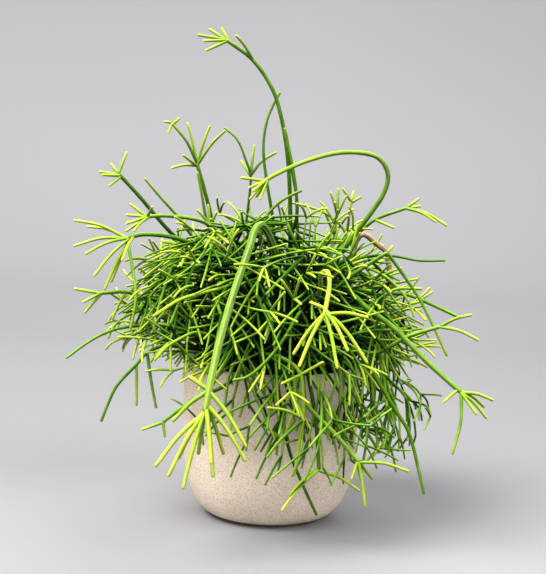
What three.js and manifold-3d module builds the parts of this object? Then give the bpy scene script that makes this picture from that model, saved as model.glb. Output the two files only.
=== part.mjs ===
import * as THREE from 'three';
import { mergeVertices } from 'three/addons/utils/BufferGeometryUtils.js';
import Module from 'manifold-3d';

// A mistletoe cactus in a round stoneware pot, in millimetres with +Z up.
// The origin is the centre of the pot's foot, and the front of the plant faces -Y.

const wasm = await Module();
wasm.setup();

// Pot
const rimRadius = 65;
const potHeight = 114;
const wallThickness = 5.5;
const shoulderRadius = 63.7;
const shoulderHeight = 56;
const footRadius = 41;
const potFloor = 8;
const potSides = 32;

// Soil
const soilTop = 102;
const soilCrown = 2;
const fitGap = 0.3;
const stemDepth = 12;

// Stems, with how far a section's corners stand out from the round it is drawn for
const cornerReach = { 3: 1.3, 4: 1.15 };
const spanLength = 18;
const rimClearance = 12;
const twigGirth = [2.3, 1.9];
const tipGirth = [2.1, 1.1];
const tipArch = 0.07;
const straightTip = 22;
const tipStagger = 0.7;

// Clumps that fill the crown: a leader from the soil, then four orders of branches
const clumpCount = 31;
const rootReach = 50;
const rootSpacing = 7.4;
const branchGirth = [[2.9, 2.5], [2.6, 2.3], [2.4, 2.0], [2.1, 1.5], [1.9, 1.3]];
const branchLength = [0, 44, 38, 30, 26];
const branchSpread = [0.5, 1.15];
const branchDrop = [-0.05, 0.22];
const branchSpans = [5, 3, 2, 2, 2];
const branchChance = [1, 1, 1, 1, 0.7];
const branchSwing = 0.3;
const lengthRange = [0.8, 1.2];
const branchTries = 24;
const leaderSwing = 0.8;
const uprightLean = [0.1, 0.34];
const leastLean = 0.04;
const uprightLength = [66, 94];
const edgeShortening = 14;
const spreadingLean = [0.34, 0.62];
const spreadingLength = [54, 74];
const spreadingFrom = [0.4, 0.75];
const evenTurn = 0.5698402910;
const evenReach = 0.7548776662;
const crownWidth = 99;
const crownShift = -2;
const crownMiddle = 140;
const crownRise = 76;
const crownEdge = 0.97;
const crownMargin = 1.04;
const turnBack = 3;
const taper = 0.2;
const leftTaper = 0.55;
const outPull = 0.03;
const lowestTip = 100;
const leftLift = 20;
const frontTrail = 38;

// Clearance between neighbours, tested with beads along every stem
const stemGap = 0.25;
const beadSpacing = 2.5;
const jointReach = 7;

const up = new THREE.Vector3(0, 0, 1);
const colours = { stoneware: '#cfbca6', soil: '#3a2b20', green: '#5f8a2b', bark: '#7a5238' };

// Long shoots. Each has its place in the soil, its girth where it leaves the soil and
// at its end, and the points it passes. Its tips fan out from the end of its route, and
// a twig leaves the route at one of its points.
const shoots = [
  {
    name: 'sky', root: [14, 8], girth: [3.4, 2.6],
    route: [[10, 5, 203], [9, 4, 228], [7, 3, 254], [4, 2, 275], [-6, 0, 310], [-21, -2, 331],
      [-41, -6, 345]],
    tips: [[-62, -2, 348], [-57, -14, 343], [-55, -16, 336], [-54, 2, 353], [-45, 0, 354]],
    twigs: [
      { at: 0, girth: [2.8, 1.8], route: [[14, -2, 221], [11, -5, 250], [6, -7, 272], [3, -8, 284]] },
      { at: 5, route: [[-34, -12, 348]] },
    ],
  },
  {
    name: 'bow', root: [2, 20], girth: [3.2, 1.8],
    route: [[-3, 14, 215], [-9, 13, 246], [-12, 11, 269], [-10, 10, 289], [-5, 9, 302], [-1, 8, 310]],
  },
  {
    name: 'hoop', root: [33, -12], girth: [4.0, 2.8],
    route: [[43, -14, 189], [55, -14, 208], [75, -15, 239], [78, -16, 251], [75, -17, 260],
      [68, -18, 266], [46, -21, 268], [22, -24, 262], [-2, -28, 251], [-10, -30, 246]],
    tips: [[-27, -32, 248], [-21, -38, 241], [-20, -36, 233], [-18, -42, 239], [-13, -40, 233],
      [-16, -24, 234]],
  },
  {
    name: 'front', root: [6, -32], girth: [5.4, 4.7], tipGirth: [2.8, 1.5],
    route: [[3, -42, 169], [2, -44, 181], [-1, -47, 198], [-7, -52, 212], [-11, -58, 217],
      [-15, -66, 214], [-18, -76, 203], [-28, -93, 171], [-36, -106, 139], [-41, -115, 111],
      [-43, -118, 97]],
    tips: [[-74, -128, 62], [-65, -132, 57], [-55, -136, 50], [-60, -112, 64], [-47, -110, 67],
      [-37, -140, 68], [-36, -126, 56], [-30, -112, 68], [-15, -126, 67]],
    twigs: [
      { at: 9, route: [[-64, -122, 91]] },
      { at: 9, route: [[-15, -128, 77]] },
      { at: 9, route: [[-55, -108, 119]] },
    ],
  },
  {
    name: 'left_fan', root: [-26, -2], girth: [3.6, 3.0],
    route: [[-29, -8, 179], [-41, -12, 188], [-61, -16, 199], [-77, -20, 204], [-97, -26, 205],
      [-106, -28, 202]],
    tips: [[-144, -30, 214], [-136, -18, 209], [-143, -36, 196], [-134, -40, 191],
      [-127, -44, 176], [-120, -40, 166], [-116, -34, 171], [-107, -50, 188]],
    twigs: [
      { at: 5, route: [[-97, -46, 162], [-100, -48, 140]] },
    ],
  },
  {
    name: 'left_crest', root: [-14, 18], girth: [3.0, 2.6],
    route: [[-13, 10, 185], [-25, 5, 197], [-43, 0, 208], [-56, -3, 215], [-81, -8, 218],
      [-95, -10, 217]],
    tips: [[-109, -14, 218], [-107, -8, 226], [-89, -24, 225], [-108, -20, 212], [-109, -16, 206],
      [-102, -26, 207]],
  },
  {
    name: 'left_rise', root: [-38, 20], girth: [3.2, 2.8],
    route: [[-45, 18, 176], [-62, 14, 190], [-80, 8, 207], [-101, 2, 231], [-116, -2, 247]],
    tips: [[-111, 4, 263], [-123, 6, 254], [-130, -4, 248], [-127, -12, 246], [-122, -10, 238]],
    twigs: [
      { at: 0, girth: [2.8, 1.8], route: [[-56, 22, 192], [-75, 16, 218], [-86, 12, 230], [-98, 8, 244]] },
    ],
  },
  {
    name: 'fork', root: [-24, 36], girth: [3.2, 2.8],
    route: [[-41, 34, 185], [-49, 29, 214], [-54, 26, 233], [-61, 24, 256]],
    tips: [[-69, 24, 286], [-52, 22, 284], [-40, 12, 281], [-79, 12, 252], [-71, 12, 262]],
    twigs: [
      {
        at: 3,
        route: [[-69, 20, 272], [-80, 16, 285]],
        tips: [[-86, 18, 286], [-82, 12, 277], [-74, 20, 289]],
      },
      { at: 0, girth: [2.6, 1.8], route: [[-52, 24, 211], [-57, 18, 236], [-60, 15, 250]] },
    ],
  },
  {
    name: 'crook', root: [-6, 36], girth: [2.6, 1.6],
    route: [[-23, 32, 211], [-22, 30, 226], [-21, 26, 248], [-25, 24, 260], [-32, 24, 275],
      [-42, 25, 283]],
    twigs: [
      { at: 2, route: [[-13, 32, 259], [-2, 36, 266]] },
      { at: 2, route: [[-19, 30, 271]] },
      { at: 2, route: [[-29, 36, 259]] },
    ],
  },
  {
    name: 'right_wing', root: [38, 14], girth: [2.8, 2.4],
    route: [[44, 22, 186], [62, 18, 210], [72, 15, 219], [95, 10, 229]],
    tips: [[104, 14, 236], [124, 2, 217], [115, -6, 220], [106, 20, 230]],
    twigs: [
      { at: 2, route: [[86, 4, 214]] },
      { at: 0, route: [[52, 36, 206], [55, 36, 231]], tips: [[48, 34, 241], [57, 40, 239], [63, 38, 235]] },
    ],
  },
  {
    name: 'right_finger', root: [48, 2], girth: [3.2, 1.6],
    route: [[51, 6, 183], [63, 4, 191], [76, 0, 194], [88, -6, 194], [103, -10, 192],
      [122, -14, 193]],
  },
  {
    name: 'right_drop', root: [28, -28], girth: [3.0, 2.6],
    route: [[35, -50, 167], [41, -53, 173], [54, -56, 185], [76, -60, 201]],
    tips: [[80, -54, 205]],
    twigs: [
      { at: 3, girth: [2.4, 1.8], route: [[100, -60, 169], [120, -64, 131]] },
    ],
  },
  {
    name: 'right_reach', root: [40, -22], girth: [4.0, 3.4],
    route: [[49, -42, 171], [63, -64, 163], [80, -75, 152], [104, -85, 130], [127, -90, 111]],
    tips: [[150, -84, 105], [145, -92, 94], [137, -100, 98], [145, -78, 99], [114, -98, 105]],
    twigs: [
      { at: 4, route: [[127, -96, 93], [122, -98, 70]] },
    ],
  },
  {
    name: 'right_pair', root: [48, -10], girth: [3.0, 2.6],
    route: [[55, -46, 132], [71, -60, 131], [91, -68, 144], [113, -74, 153]],
    tips: [[134, -76, 162], [139, -80, 145]],
    twigs: [
      { at: 2, route: [[101, -60, 141]] },
    ],
  },
  {
    name: 'right_back', root: [42, 26], girth: [3.0, 2.4],
    route: [[57, 10, 162], [75, -8, 166], [94, -18, 168], [115, -26, 161], [132, -30, 154]],
  },
  {
    name: 'right_tail', root: [36, -34], girth: [4.0, 2.0],
    route: [[57, -64, 133], [68, -72, 120], [84, -80, 96], [93, -82, 83], [106, -86, 39]],
  },
  {
    name: 'front_right', root: [16, -44], girth: [3.4, 2.8],
    route: [[7, -70, 124], [13, -78, 113], [25, -86, 97], [42, -94, 82], [60, -99, 63]],
    tips: [[94, -96, 57], [65, -106, 34], [55, -104, 52], [70, -92, 50], [63, -90, 47]],
  },
  {
    name: 'front_low', root: [26, -40], girth: [3.0, 2.6],
    route: [[24, -74, 119], [28, -78, 101], [31, -80, 84], [34, -85, 53]],
    tips: [[62, -90, 41], [9, -104, 29], [14, -90, 36]],
  },
  {
    name: 'front_tail', root: [4, -46], girth: [3.0, 2.0],
    route: [[-2, -70, 132], [3, -76, 115], [7, -78, 91], [15, -77, 60], [34, -79, 20]],
  },
  {
    name: 'bright_fan', root: [18, -26], girth: [3.6, 3.0], tipGirth: [2.5, 1.3],
    route: [[31, -60, 174], [31, -72, 186], [35, -82, 188], [36, -90, 180], [33, -102, 162]],
    tips: [[62, -104, 161], [13, -112, 136], [17, -124, 130], [42, -120, 129], [48, -128, 142],
      [62, -112, 132], [23, -94, 169]],
  },
  {
    name: 'mid_low', root: [-6, -42], girth: [3.0, 2.4],
    route: [[-7, -74, 129], [1, -84, 131], [14, -92, 126], [19, -94, 120], [22, -98, 91]],
    tips: [[-3, -104, 99], [17, -100, 52]],
    twigs: [
      { at: 3, route: [[6, -104, 115]] },
      { at: 3, route: [[34, -98, 130]] },
      { at: 4, route: [[7, -106, 78], [-2, -108, 66]] },
    ],
  },
  {
    name: 'left_low', root: [-46, -8], girth: [3.0, 1.8],
    route: [[-78, -20, 140], [-98, -30, 140], [-112, -36, 138], [-126, -42, 132], [-145, -48, 118]],
  },
  {
    name: 'left_droop', root: [-42, -20], girth: [3.0, 2.0],
    route: [[-76, -44, 129], [-88, -48, 124], [-95, -52, 116], [-108, -56, 101], [-118, -59, 76]],
    twigs: [
      { at: 1, route: [[-84, -54, 104], [-80, -55, 86]] },
      { at: 2, route: [[-94, -54, 87]] },
    ],
  },
  {
    name: 'left_front', root: [-22, -42], girth: [3.2, 2.4],
    route: [[-22, -68, 116], [-34, -74, 106], [-51, -80, 99], [-73, -88, 83]],
    tips: [[-87, -90, 78], [-71, -88, 73]],
  },
  {
    name: 'left_mid', root: [-48, 5], girth: [3.0, 2.6],
    route: [[-54, -10, 156], [-79, -18, 157], [-96, -24, 161], [-106, -28, 164], [-124, -33, 163]],
    tips: [[-142, -36, 166], [-135, -42, 157], [-134, -38, 149]],
    twigs: [
      { at: 3, route: [[-115, -32, 144]] },
    ],
  },
  {
    name: 'bright_bow', root: [-8, -26], girth: [3.2, 2.2],
    route: [[-24, -62, 176], [-38, -70, 173], [-51, -76, 170], [-64, -82, 166], [-81, -90, 155]],
  },
  {
    name: 'woody', root: [33, 39], girth: [4.6, 4.0],
    route: [[57, 33, 186], [60, 32, 202], [65, 32, 207], [75, 34, 200], [83, 35, 194],
      [85, 36, 186], [89, 38, 163]],
  },
];

let seed = 20;

function draw(low, high) {
  seed = (seed * 1664525 + 1013904223) % 4294967296;
  return low + (high - low) * seed / 4294967296;
}

function vector(point) {
  return new THREE.Vector3(point[0], point[1], point[2]);
}

// ---- Sections and surfaces

// Directions at each point of a line, with a side that is carried along without twist
function framesAlong(points, firstSide) {
  let side = firstSide;
  return points.map((point, i) => {
    const before = points[Math.max(i - 1, 0)];
    const after = points[Math.min(i + 1, points.length - 1)];
    const along = after.clone().sub(before).normalize();
    side = side.clone().addScaledVector(along, -side.dot(along)).normalize();
    return { along, side, across: along.clone().cross(side) };
  });
}

function strand(points, [first, last], sides, side) {
  const girths = points.map((point, i) => first + (last - first) * i / (points.length - 1));
  return { points, girths, sides, frames: framesAlong(points, side), branches: [] };
}

function cornersAt(piece, i) {
  const { along, side, across } = piece.frames[i];
  const reach = cornerReach[piece.sides] * piece.girths[i] / 2;
  return Array.from({ length: piece.sides }, (unused, k) => {
    const angle = k / piece.sides * 2 * Math.PI;
    const corner = piece.points[i].clone();
    corner.addScaledVector(side, reach * Math.cos(angle));
    return corner.addScaledVector(across, reach * Math.sin(angle));
  });
}

// A closed surface round a strand and its branches. The end of a strand that branches
// is a low pyramid, and each branch grows out of one face of it.
function skin(piece) {
  const positions = [];
  const faces = [];
  const add = (point) => positions.push(point.x, point.y, point.z) / 3 - 1;

  function cover(part, base) {
    let ring = base;
    for (let i = 1; i < part.points.length; i++) {
      const next = cornersAt(part, i).map(add);
      ring.forEach((corner, k) => {
        const beside = (k + 1) % ring.length;
        faces.push(corner, ring[beside], next[beside], corner, next[beside], next[k]);
      });
      ring = next;
    }
    if (part.branches.length === 0) {
      for (let k = 1; k + 1 < ring.length; k++) {
        faces.push(ring[0], ring[k], ring[k + 1]);
      }
      return;
    }
    const apex = add(apexOf(part));
    ring.forEach((corner, k) => {
      const face = [corner, ring[(k + 1) % ring.length], apex];
      if (part.branches[k]) {
        cover(part.branches[k], face);
      } else {
        faces.push(...face);
      }
    });
  }

  const root = cornersAt(piece, 0).map(add);
  for (let k = 1; k + 1 < root.length; k++) {
    faces.push(root[0], root[k + 1], root[k]);
  }
  cover(piece, root);
  const geometry = new THREE.BufferGeometry();
  geometry.setAttribute('position', new THREE.Float32BufferAttribute(positions, 3));
  geometry.setIndex(faces);
  geometry.computeVertexNormals();
  return geometry;
}

function apexOf(piece) {
  const end = piece.points.length - 1;
  return piece.points[end].clone().addScaledVector(piece.frames[end].along, piece.girths[end] * 0.4);
}

function solid(geometry) {
  const vertProperties = Float32Array.from(geometry.attributes.position.array);
  const triVerts = Uint32Array.from(geometry.index.array);
  return new wasm.Manifold(new wasm.Mesh({ numProp: 3, vertProperties, triVerts }));
}

function geometryOf(manifold) {
  const mesh = manifold.getMesh();
  const geometry = new THREE.BufferGeometry();
  geometry.setAttribute('position', new THREE.BufferAttribute(mesh.vertProperties, mesh.numProp));
  geometry.setIndex(new THREE.BufferAttribute(mesh.triVerts, 1));
  geometry.computeVertexNormals();
  return geometry;
}

// Only positions are kept, so that shared corners merge into one closed surface
function lathe(outline) {
  const points = outline.map(([radius, height]) => new THREE.Vector2(radius, height));
  const geometry = new THREE.LatheGeometry(points, potSides).rotateX(Math.PI / 2);
  geometry.deleteAttribute('normal');
  geometry.deleteAttribute('uv');
  return mergeVertices(geometry, 1e-4);
}

// ---- Long shoots

function sideOf(points) {
  const along = points[1].clone().sub(points[0]).normalize();
  return Math.abs(along.z) > 0.9 ? new THREE.Vector3(1, 0, 0) : up;
}

// Points along a smooth line through a route, about one span apart
function smooth(route) {
  const curve = new THREE.CatmullRomCurve3(route, false, 'centripetal');
  const points = [route[0]];
  for (let i = 0; i + 1 < route.length; i++) {
    const spans = Math.max(1, Math.round(route[i].distanceTo(route[i + 1]) / spanLength));
    for (let k = 1; k <= spans; k++) {
      points.push(curve.getPoint((i + k / spans) / (route.length - 1)));
    }
  }
  return points;
}

// A stem leaves its hole upright and clears the rim before it heads for its first point
function rise([x, y], first) {
  const peak = Math.max(potHeight + rimClearance, soilTop + 0.72 * (first.z - soilTop));
  const foot = new THREE.Vector3(x, y, soilTop + 3);
  const low = foot.clone().lerp(first, 0.08).setZ((soilTop + peak) / 2);
  const high = foot.clone().lerp(first, 0.5).setZ(peak);
  return [foot, low, high];
}

// Tips leave the end of a line one just behind the other
function tipStrands(before, end, tips = [], girth = tipGirth) {
  const back = before.clone().sub(end).normalize();
  return tips.map((tip, i) => {
    const from = end.clone().addScaledVector(back, tipStagger * i);
    const to = vector(tip);
    const length = from.distanceTo(to);
    const middle = from.clone().lerp(to, 0.5).add(new THREE.Vector3(0, 0, tipArch * length));
    const points = length < straightTip ? [from, to] : [from, middle, to];
    return strand(points, girth, 3, sideOf(points));
  });
}

function twigStrands(before, start, twig, girth) {
  const route = [start, ...twig.route.map(vector)];
  if (route.length === 2) {
    return tipStrands(before, start, twig.route, girth);
  }
  const points = smooth(route);
  return [
    strand(points, twig.girth ?? twigGirth, 3, sideOf(points)),
    ...tipStrands(...route.slice(-2), twig.tips),
  ];
}

function shootStrands({ root, girth, tipGirth: ends, route, tips, twigs = [] }) {
  const passes = route.map(vector);
  const buried = new THREE.Vector3(root[0], root[1], soilTop - stemDepth);
  const points = [buried, ...smooth([...rise(root, passes[0]), ...passes])];
  return [
    strand(points, girth, 4, sideOf(points)),
    ...tipStrands(...passes.slice(-2), tips, ends),
    ...twigs.flatMap((twig) => twigStrands(passes[twig.at - 1] ?? points[0], passes[twig.at], twig, ends)),
  ];
}

// ---- Clearance

const beads = [];

function beadsOf({ points, girths }) {
  const start = points[0];
  const end = points[points.length - 1];
  const row = [];
  for (let i = 0; i + 1 < points.length; i++) {
    const count = Math.ceil(points[i].distanceTo(points[i + 1]) / beadSpacing);
    for (let k = 0; k < count; k++) {
      const place = points[i].clone().lerp(points[i + 1], k / count);
      const girth = girths[i] + (girths[i + 1] - girths[i]) * k / count;
      row.push({ place, radius: girth / 2, start, end });
    }
  }
  row.push({ place: end, radius: girths[girths.length - 1] / 2, start, end });
  return row;
}

// Outside of the pot as radius and height: a straight wall over a quarter-round foot
function potOutline(inset, bottom, steps) {
  const outline = [[footRadius - inset, bottom]];
  for (let i = 1; i <= steps; i++) {
    const angle = i / steps * Math.PI / 2;
    outline.push([
      footRadius - inset + (shoulderRadius - footRadius) * Math.sin(angle),
      bottom + (shoulderHeight - bottom) * (1 - Math.cos(angle)),
    ]);
  }
  return outline;
}

const wallMiddle = [
  ...potOutline(wallThickness / 2, wallThickness / 2, 6),
  [rimRadius - wallThickness / 2, potHeight - wallThickness / 2],
];

function wallDistance(across, height) {
  let nearest = Infinity;
  for (let i = 0; i + 1 < wallMiddle.length; i++) {
    const [r, z] = wallMiddle[i];
    const [dr, dz] = [wallMiddle[i + 1][0] - r, wallMiddle[i + 1][1] - z];
    const along = ((across - r) * dr + (height - z) * dz) / (dr * dr + dz * dz);
    const t = Math.min(Math.max(along, 0), 1);
    nearest = Math.min(nearest, Math.hypot(across - r - t * dr, height - z - t * dz));
  }
  return nearest;
}

function clearsPot({ place, radius }) {
  const across = Math.hypot(place.x, place.y);
  const overSoil = across > rimRadius || place.z > soilTop + soilCrown + radius + 1;
  return overSoil && wallDistance(across, place.z) > wallThickness / 2 + radius * 1.3 + 1;
}

// A branch may touch its parent and its neighbours on the whorl only near their joint
function clearsStems(bead, joint) {
  return beads.every((other) => {
    const apart = (bead.radius + other.radius) * cornerReach[3] + stemGap;
    const away = other.place.distanceToSquared(bead.place);
    const joined = other.start === joint || other.end === joint;
    return away > apart * apart + beadSpacing * beadSpacing / 2
      || joined && other.place.distanceTo(joint) < jointReach;
  });
}

function isClear(piece, joint) {
  const row = beadsOf(piece).slice(2);
  return row.every((bead) => clearsPot(bead) && clearsStems(bead, joint));
}

function roomAt(point) {
  return Math.min(...beads.map((bead) => bead.place.distanceTo(point)));
}

// ---- Clumps

// How far out a point lies in the crown: 1 on its outside, which is a dome over a skirt that
// narrows most on the left
function crownRatio({ x, y, z }) {
  const reach = Math.hypot(x - crownShift, y);
  const leftward = Math.max(-x / (reach + 1), 0);
  const width = crownWidth - (taper + leftTaper * leftward) * Math.max(crownMiddle - z, 0);
  return Math.hypot(reach / width, Math.max(z - crownMiddle, 0) / crownRise);
}

// Stems trail lowest at the front right and least on the left
function lowestAt({ x, y }) {
  const reach = Math.hypot(x, y) + 1;
  const lift = leftLift * Math.max(-x / reach, 0);
  return lowestTip + lift - frontTrail * Math.max((x - y) / reach - 0.3, 0);
}

// One length of stem, bending toward a pull and a little outward, and turning back at the
// crown's outside
function growLine(from, aim, pull, length, spans) {
  const points = [from];
  const heading = aim.clone();
  for (let i = 0; i < spans; i++) {
    const here = points[i];
    const outward = new THREE.Vector3(here.x, here.y, Math.max(here.z - crownMiddle, 0)).normalize();
    heading.add(pull).addScaledVector(outward, outPull);
    const over = Math.max(crownRatio(here) - crownEdge, 0) * turnBack;
    heading.addScaledVector(outward, -over * Math.max(heading.dot(outward), 0)).normalize();
    points.push(here.clone().addScaledVector(heading, length / spans));
  }
  return points;
}

// A branch leaves one face of its parent's end. Of a few tries, it keeps the clear one
// that ends with the most room round it.
function growBranch(parent, face, order) {
  const end = parent.points.length - 1;
  const from = parent.points[end];
  const { along, side, across } = parent.frames[end];
  const middle = (face + 0.5) / parent.sides * 2 * Math.PI;
  const corner = cornersAt(parent, end)[face].sub(from);
  let kept = null;
  let mostRoom = 0;
  for (let attempt = 0; attempt < branchTries; attempt++) {
    const turn = middle + draw(-branchSwing, branchSwing);
    const spread = draw(...branchSpread);
    const aim = along.clone().multiplyScalar(Math.cos(spread));
    aim.addScaledVector(side, Math.sin(spread) * Math.cos(turn));
    aim.addScaledVector(across, Math.sin(spread) * Math.sin(turn));
    const pull = new THREE.Vector3(0, 0, -draw(...branchDrop));
    const length = branchLength[order] * draw(...lengthRange);
    const points = growLine(from, aim, pull, length, branchSpans[order]);
    const piece = strand(points, branchGirth[order], 3, corner);
    const last = points[points.length - 1];
    const inside = last.z > lowestAt(last) && crownRatio(last) < crownMargin;
    if (inside && isClear(piece, from) && roomAt(last) > mostRoom) {
      kept = piece;
      mostRoom = roomAt(last);
    }
  }
  return kept;
}

// The outer leaders spread low over the rim, and the inner ones stand up
function growLeader([x, y], spreads) {
  const foot = new THREE.Vector3(x, y, soilTop + 3);
  const buried = new THREE.Vector3(x, y, soilTop - stemDepth);
  const outness = Math.hypot(x, y) / rootReach;
  let kept = null;
  let mostRoom = 0;
  for (let attempt = 0; attempt < branchTries; attempt++) {
    const bearing = Math.atan2(y, x) + draw(-leaderSwing, leaderSwing);
    const lean = spreads ? draw(...spreadingLean) : leastLean + outness * draw(...uprightLean);
    const length = spreads ? draw(...spreadingLength) : draw(...uprightLength) - edgeShortening * outness;
    const pull = new THREE.Vector3(lean * Math.cos(bearing), lean * Math.sin(bearing), 0);
    const line = growLine(foot, up, pull, length, branchSpans[0]);
    const last = line[line.length - 1];
    const free = strand(line, branchGirth[0], 4, up);
    if (isClear(free, foot) && roomAt(last) > mostRoom) {
      kept = strand([buried, ...line], branchGirth[0], 4, new THREE.Vector3(1, 0, 0));
      mostRoom = roomAt(last);
    }
  }
  return kept;
}

// Places for the clumps, spread evenly over the soil between the long shoots
function clumpRoots() {
  const roots = [];
  const taken = shoots.map(({ root }) => root);
  for (let i = 0; roots.length < clumpCount && i < 2000; i++) {
    const turn = 2 * Math.PI * ((i * evenTurn) % 1);
    const reach = rootReach * Math.sqrt((0.5 + i * evenReach) % 1);
    const root = [reach * Math.cos(turn), reach * Math.sin(turn)];
    if (taken.every(([x, y]) => Math.hypot(x - root[0], y - root[1]) > rootSpacing)) {
      roots.push(root);
      taken.push(root);
    }
  }
  return roots;
}

function growClumps() {
  const clumps = [];
  for (const root of clumpRoots()) {
    const spreads = Math.hypot(...root) > rootReach * spreadingFrom[clumps.length % 2];
    const leader = growLeader(root, spreads);
    if (leader) {
      beads.push(...beadsOf(leader));
      clumps.push({ root, leader });
    }
  }
  let parents = clumps.map(({ leader }) => leader);
  for (let order = 1; order < branchLength.length; order++) {
    const grown = [];
    for (const parent of parents) {
      if (draw(0, 1) > branchChance[order]) continue;
      const branches = Array.from({ length: parent.sides }, (unused, face) => {
        const branch = growBranch(parent, face, order);
        beads.push(...(branch ? beadsOf(branch) : []));
        return branch;
      });
      if (branches.some(Boolean)) {
        parent.branches = branches;
        grown.push(...branches.filter(Boolean));
      }
    }
    parents = grown;
  }
  return clumps;
}

// ---- Pot and soil

function potGeometry() {
  const half = wallThickness / 2;
  const rim = Array.from({ length: 4 }, (unused, i) => {
    const angle = i / 3 * Math.PI;
    return [rimRadius - half + half * Math.cos(angle), potHeight - half + half * Math.sin(angle)];
  });
  const inner = potOutline(wallThickness, potFloor, 5).reverse();
  return lathe([[0, 0], ...potOutline(0, 0, 6), ...rim, ...inner, [0, potFloor]]);
}

// The soil fills the pot and has a plain hole for each stem
function soilGeometry(roots) {
  const inset = wallThickness + fitGap;
  const edge = rimRadius - inset - 0.5;
  const side = potOutline(inset, potFloor + fitGap, 2);
  const top = [[edge, soilTop], [edge * 0.6, soilTop + soilCrown * 0.7], [0, soilTop + soilCrown]];
  let soil = solid(lathe([[0, potFloor + fitGap], ...side, ...top]));
  for (const { root, girth } of roots) {
    const bottom = new THREE.Vector3(root[0], root[1], soilTop - stemDepth - fitGap);
    const opening = new THREE.Vector3(root[0], root[1], soilTop + soilCrown + 5);
    const width = girth + 2 * Math.SQRT2 * fitGap;
    const hole = strand([bottom, opening], [width, width], 4, new THREE.Vector3(1, 0, 0));
    soil = soil.subtract(solid(skin(hole)));
  }
  return geometryOf(soil);
}

// ---- The whole plant

function mesh(name, geometry, color, roughness) {
  const material = new THREE.MeshStandardMaterial({ color, roughness, metalness: 0 });
  const part = new THREE.Mesh(geometry, material);
  part.name = name;
  return part;
}

const group = new THREE.Group();
const roots = [];

for (const shoot of shoots) {
  const strands = shootStrands(shoot);
  beads.push(...strands.flatMap(beadsOf));
  const joined = strands.map((piece) => solid(skin(piece))).reduce((whole, piece) => whole.add(piece));
  const colour = shoot.name === 'woody' ? colours.bark : colours.green;
  group.add(mesh(`shoot_${shoot.name}`, geometryOf(joined), colour, 0.5));
  roots.push({ root: shoot.root, girth: shoot.girth[0] });
}

growClumps().forEach(({ root, leader }, i) => {
  const number = String(i + 1).padStart(2, '0');
  group.add(mesh(`clump_${number}`, skin(leader), colours.green, 0.5));
  roots.push({ root, girth: branchGirth[0][0] });
});

group.add(mesh('pot', potGeometry(), colours.stoneware, 0.85));
group.add(mesh('soil', soilGeometry(roots), colours.soil, 0.95));

export default group;
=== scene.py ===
import itertools

import bpy
import numpy as np
from mathutils import Matrix, Vector


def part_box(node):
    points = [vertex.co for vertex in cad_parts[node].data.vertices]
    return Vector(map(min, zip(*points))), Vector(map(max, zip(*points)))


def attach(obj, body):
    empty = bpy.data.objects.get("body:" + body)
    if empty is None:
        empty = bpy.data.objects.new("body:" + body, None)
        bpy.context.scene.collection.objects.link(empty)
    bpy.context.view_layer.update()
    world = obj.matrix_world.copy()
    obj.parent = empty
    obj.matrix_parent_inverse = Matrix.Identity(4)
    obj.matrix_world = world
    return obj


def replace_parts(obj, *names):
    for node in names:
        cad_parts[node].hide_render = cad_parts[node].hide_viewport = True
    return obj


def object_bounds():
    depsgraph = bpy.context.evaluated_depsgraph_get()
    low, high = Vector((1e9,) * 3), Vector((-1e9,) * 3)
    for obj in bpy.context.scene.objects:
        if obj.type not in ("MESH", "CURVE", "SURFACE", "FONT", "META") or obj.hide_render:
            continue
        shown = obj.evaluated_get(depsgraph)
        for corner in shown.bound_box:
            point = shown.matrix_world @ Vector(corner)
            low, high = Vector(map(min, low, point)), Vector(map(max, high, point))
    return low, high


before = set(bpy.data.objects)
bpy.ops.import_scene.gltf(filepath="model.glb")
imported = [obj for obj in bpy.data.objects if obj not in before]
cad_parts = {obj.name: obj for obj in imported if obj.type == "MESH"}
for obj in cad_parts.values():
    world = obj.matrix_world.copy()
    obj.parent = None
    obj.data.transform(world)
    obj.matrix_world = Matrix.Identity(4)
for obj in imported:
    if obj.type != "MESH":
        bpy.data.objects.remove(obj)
cadBox = [list(corner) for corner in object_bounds()]
print("frame loaded:", len(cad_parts), "nodes")

mm = 0.001  # the plant is worked out in millimetres, and its meshes are in metres
fullTurn = 2 * np.pi
scatterScale = 43758.5453  # so large that neighbouring values have nothing in common
leastLength = 1e-12  # keeps a line of no length from being divided by nothing
series = {"factor": 1664525, "step": 1013904223, "size": 4294967296}  # as the source draws its numbers
drawState = 0


def startDraws(seed):
    global drawState
    drawState = seed


def draw(low, high):
    global drawState
    drawState = (drawState * series["factor"] + series["step"]) % series["size"]
    return low + (high - low) * drawState / series["size"]


def drawRows(count, *ranges):
    # one draw from every range at a time, given back as a column for each range
    return np.array([[draw(*reach) for reach in ranges] for i in range(count)]).T


def scattered(value, reach=1):
    # a fixed number between nothing and the reach that looks random from one value to the next
    return np.sin(value) * scatterScale % reach


def unit(v):
    return v / np.maximum(np.sqrt((v * v).sum(-1, keepdims=True)), leastLength)


def roundTurn(sides):
    return np.arange(sides) / sides * fullTurn


def tubeFaces(rows, sides):
    # quads between neighbouring rings, and a fan of triangles to a first and to a last point
    k, row = np.arange(sides), np.arange(rows - 1)[:, None] * sides
    beside, last = (k + 1) % sides, (rows - 1) * sides
    first, second = (row + k).ravel(), (row + beside).ravel()
    quads = np.stack([first, second, second + sides, first + sides], 1)
    bottom = np.stack([np.full(sides, rows * sides), beside, k], 1)
    top = np.stack([np.full(sides, rows * sides + 1), last + k, last + beside], 1)
    return quads, np.vstack([bottom, top])


def turned(profile, sides, wave=1.0):
    # (radius * wave * cos u, radius * wave * sin u, height) for every point of the profile
    u, radius = roundTurn(sides), profile[:, :1] * wave
    rings = np.stack([radius * np.cos(u), radius * np.sin(u), np.repeat(profile[:, 1:], sides, 1)], 2)
    return rings.reshape(-1, 3)


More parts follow.
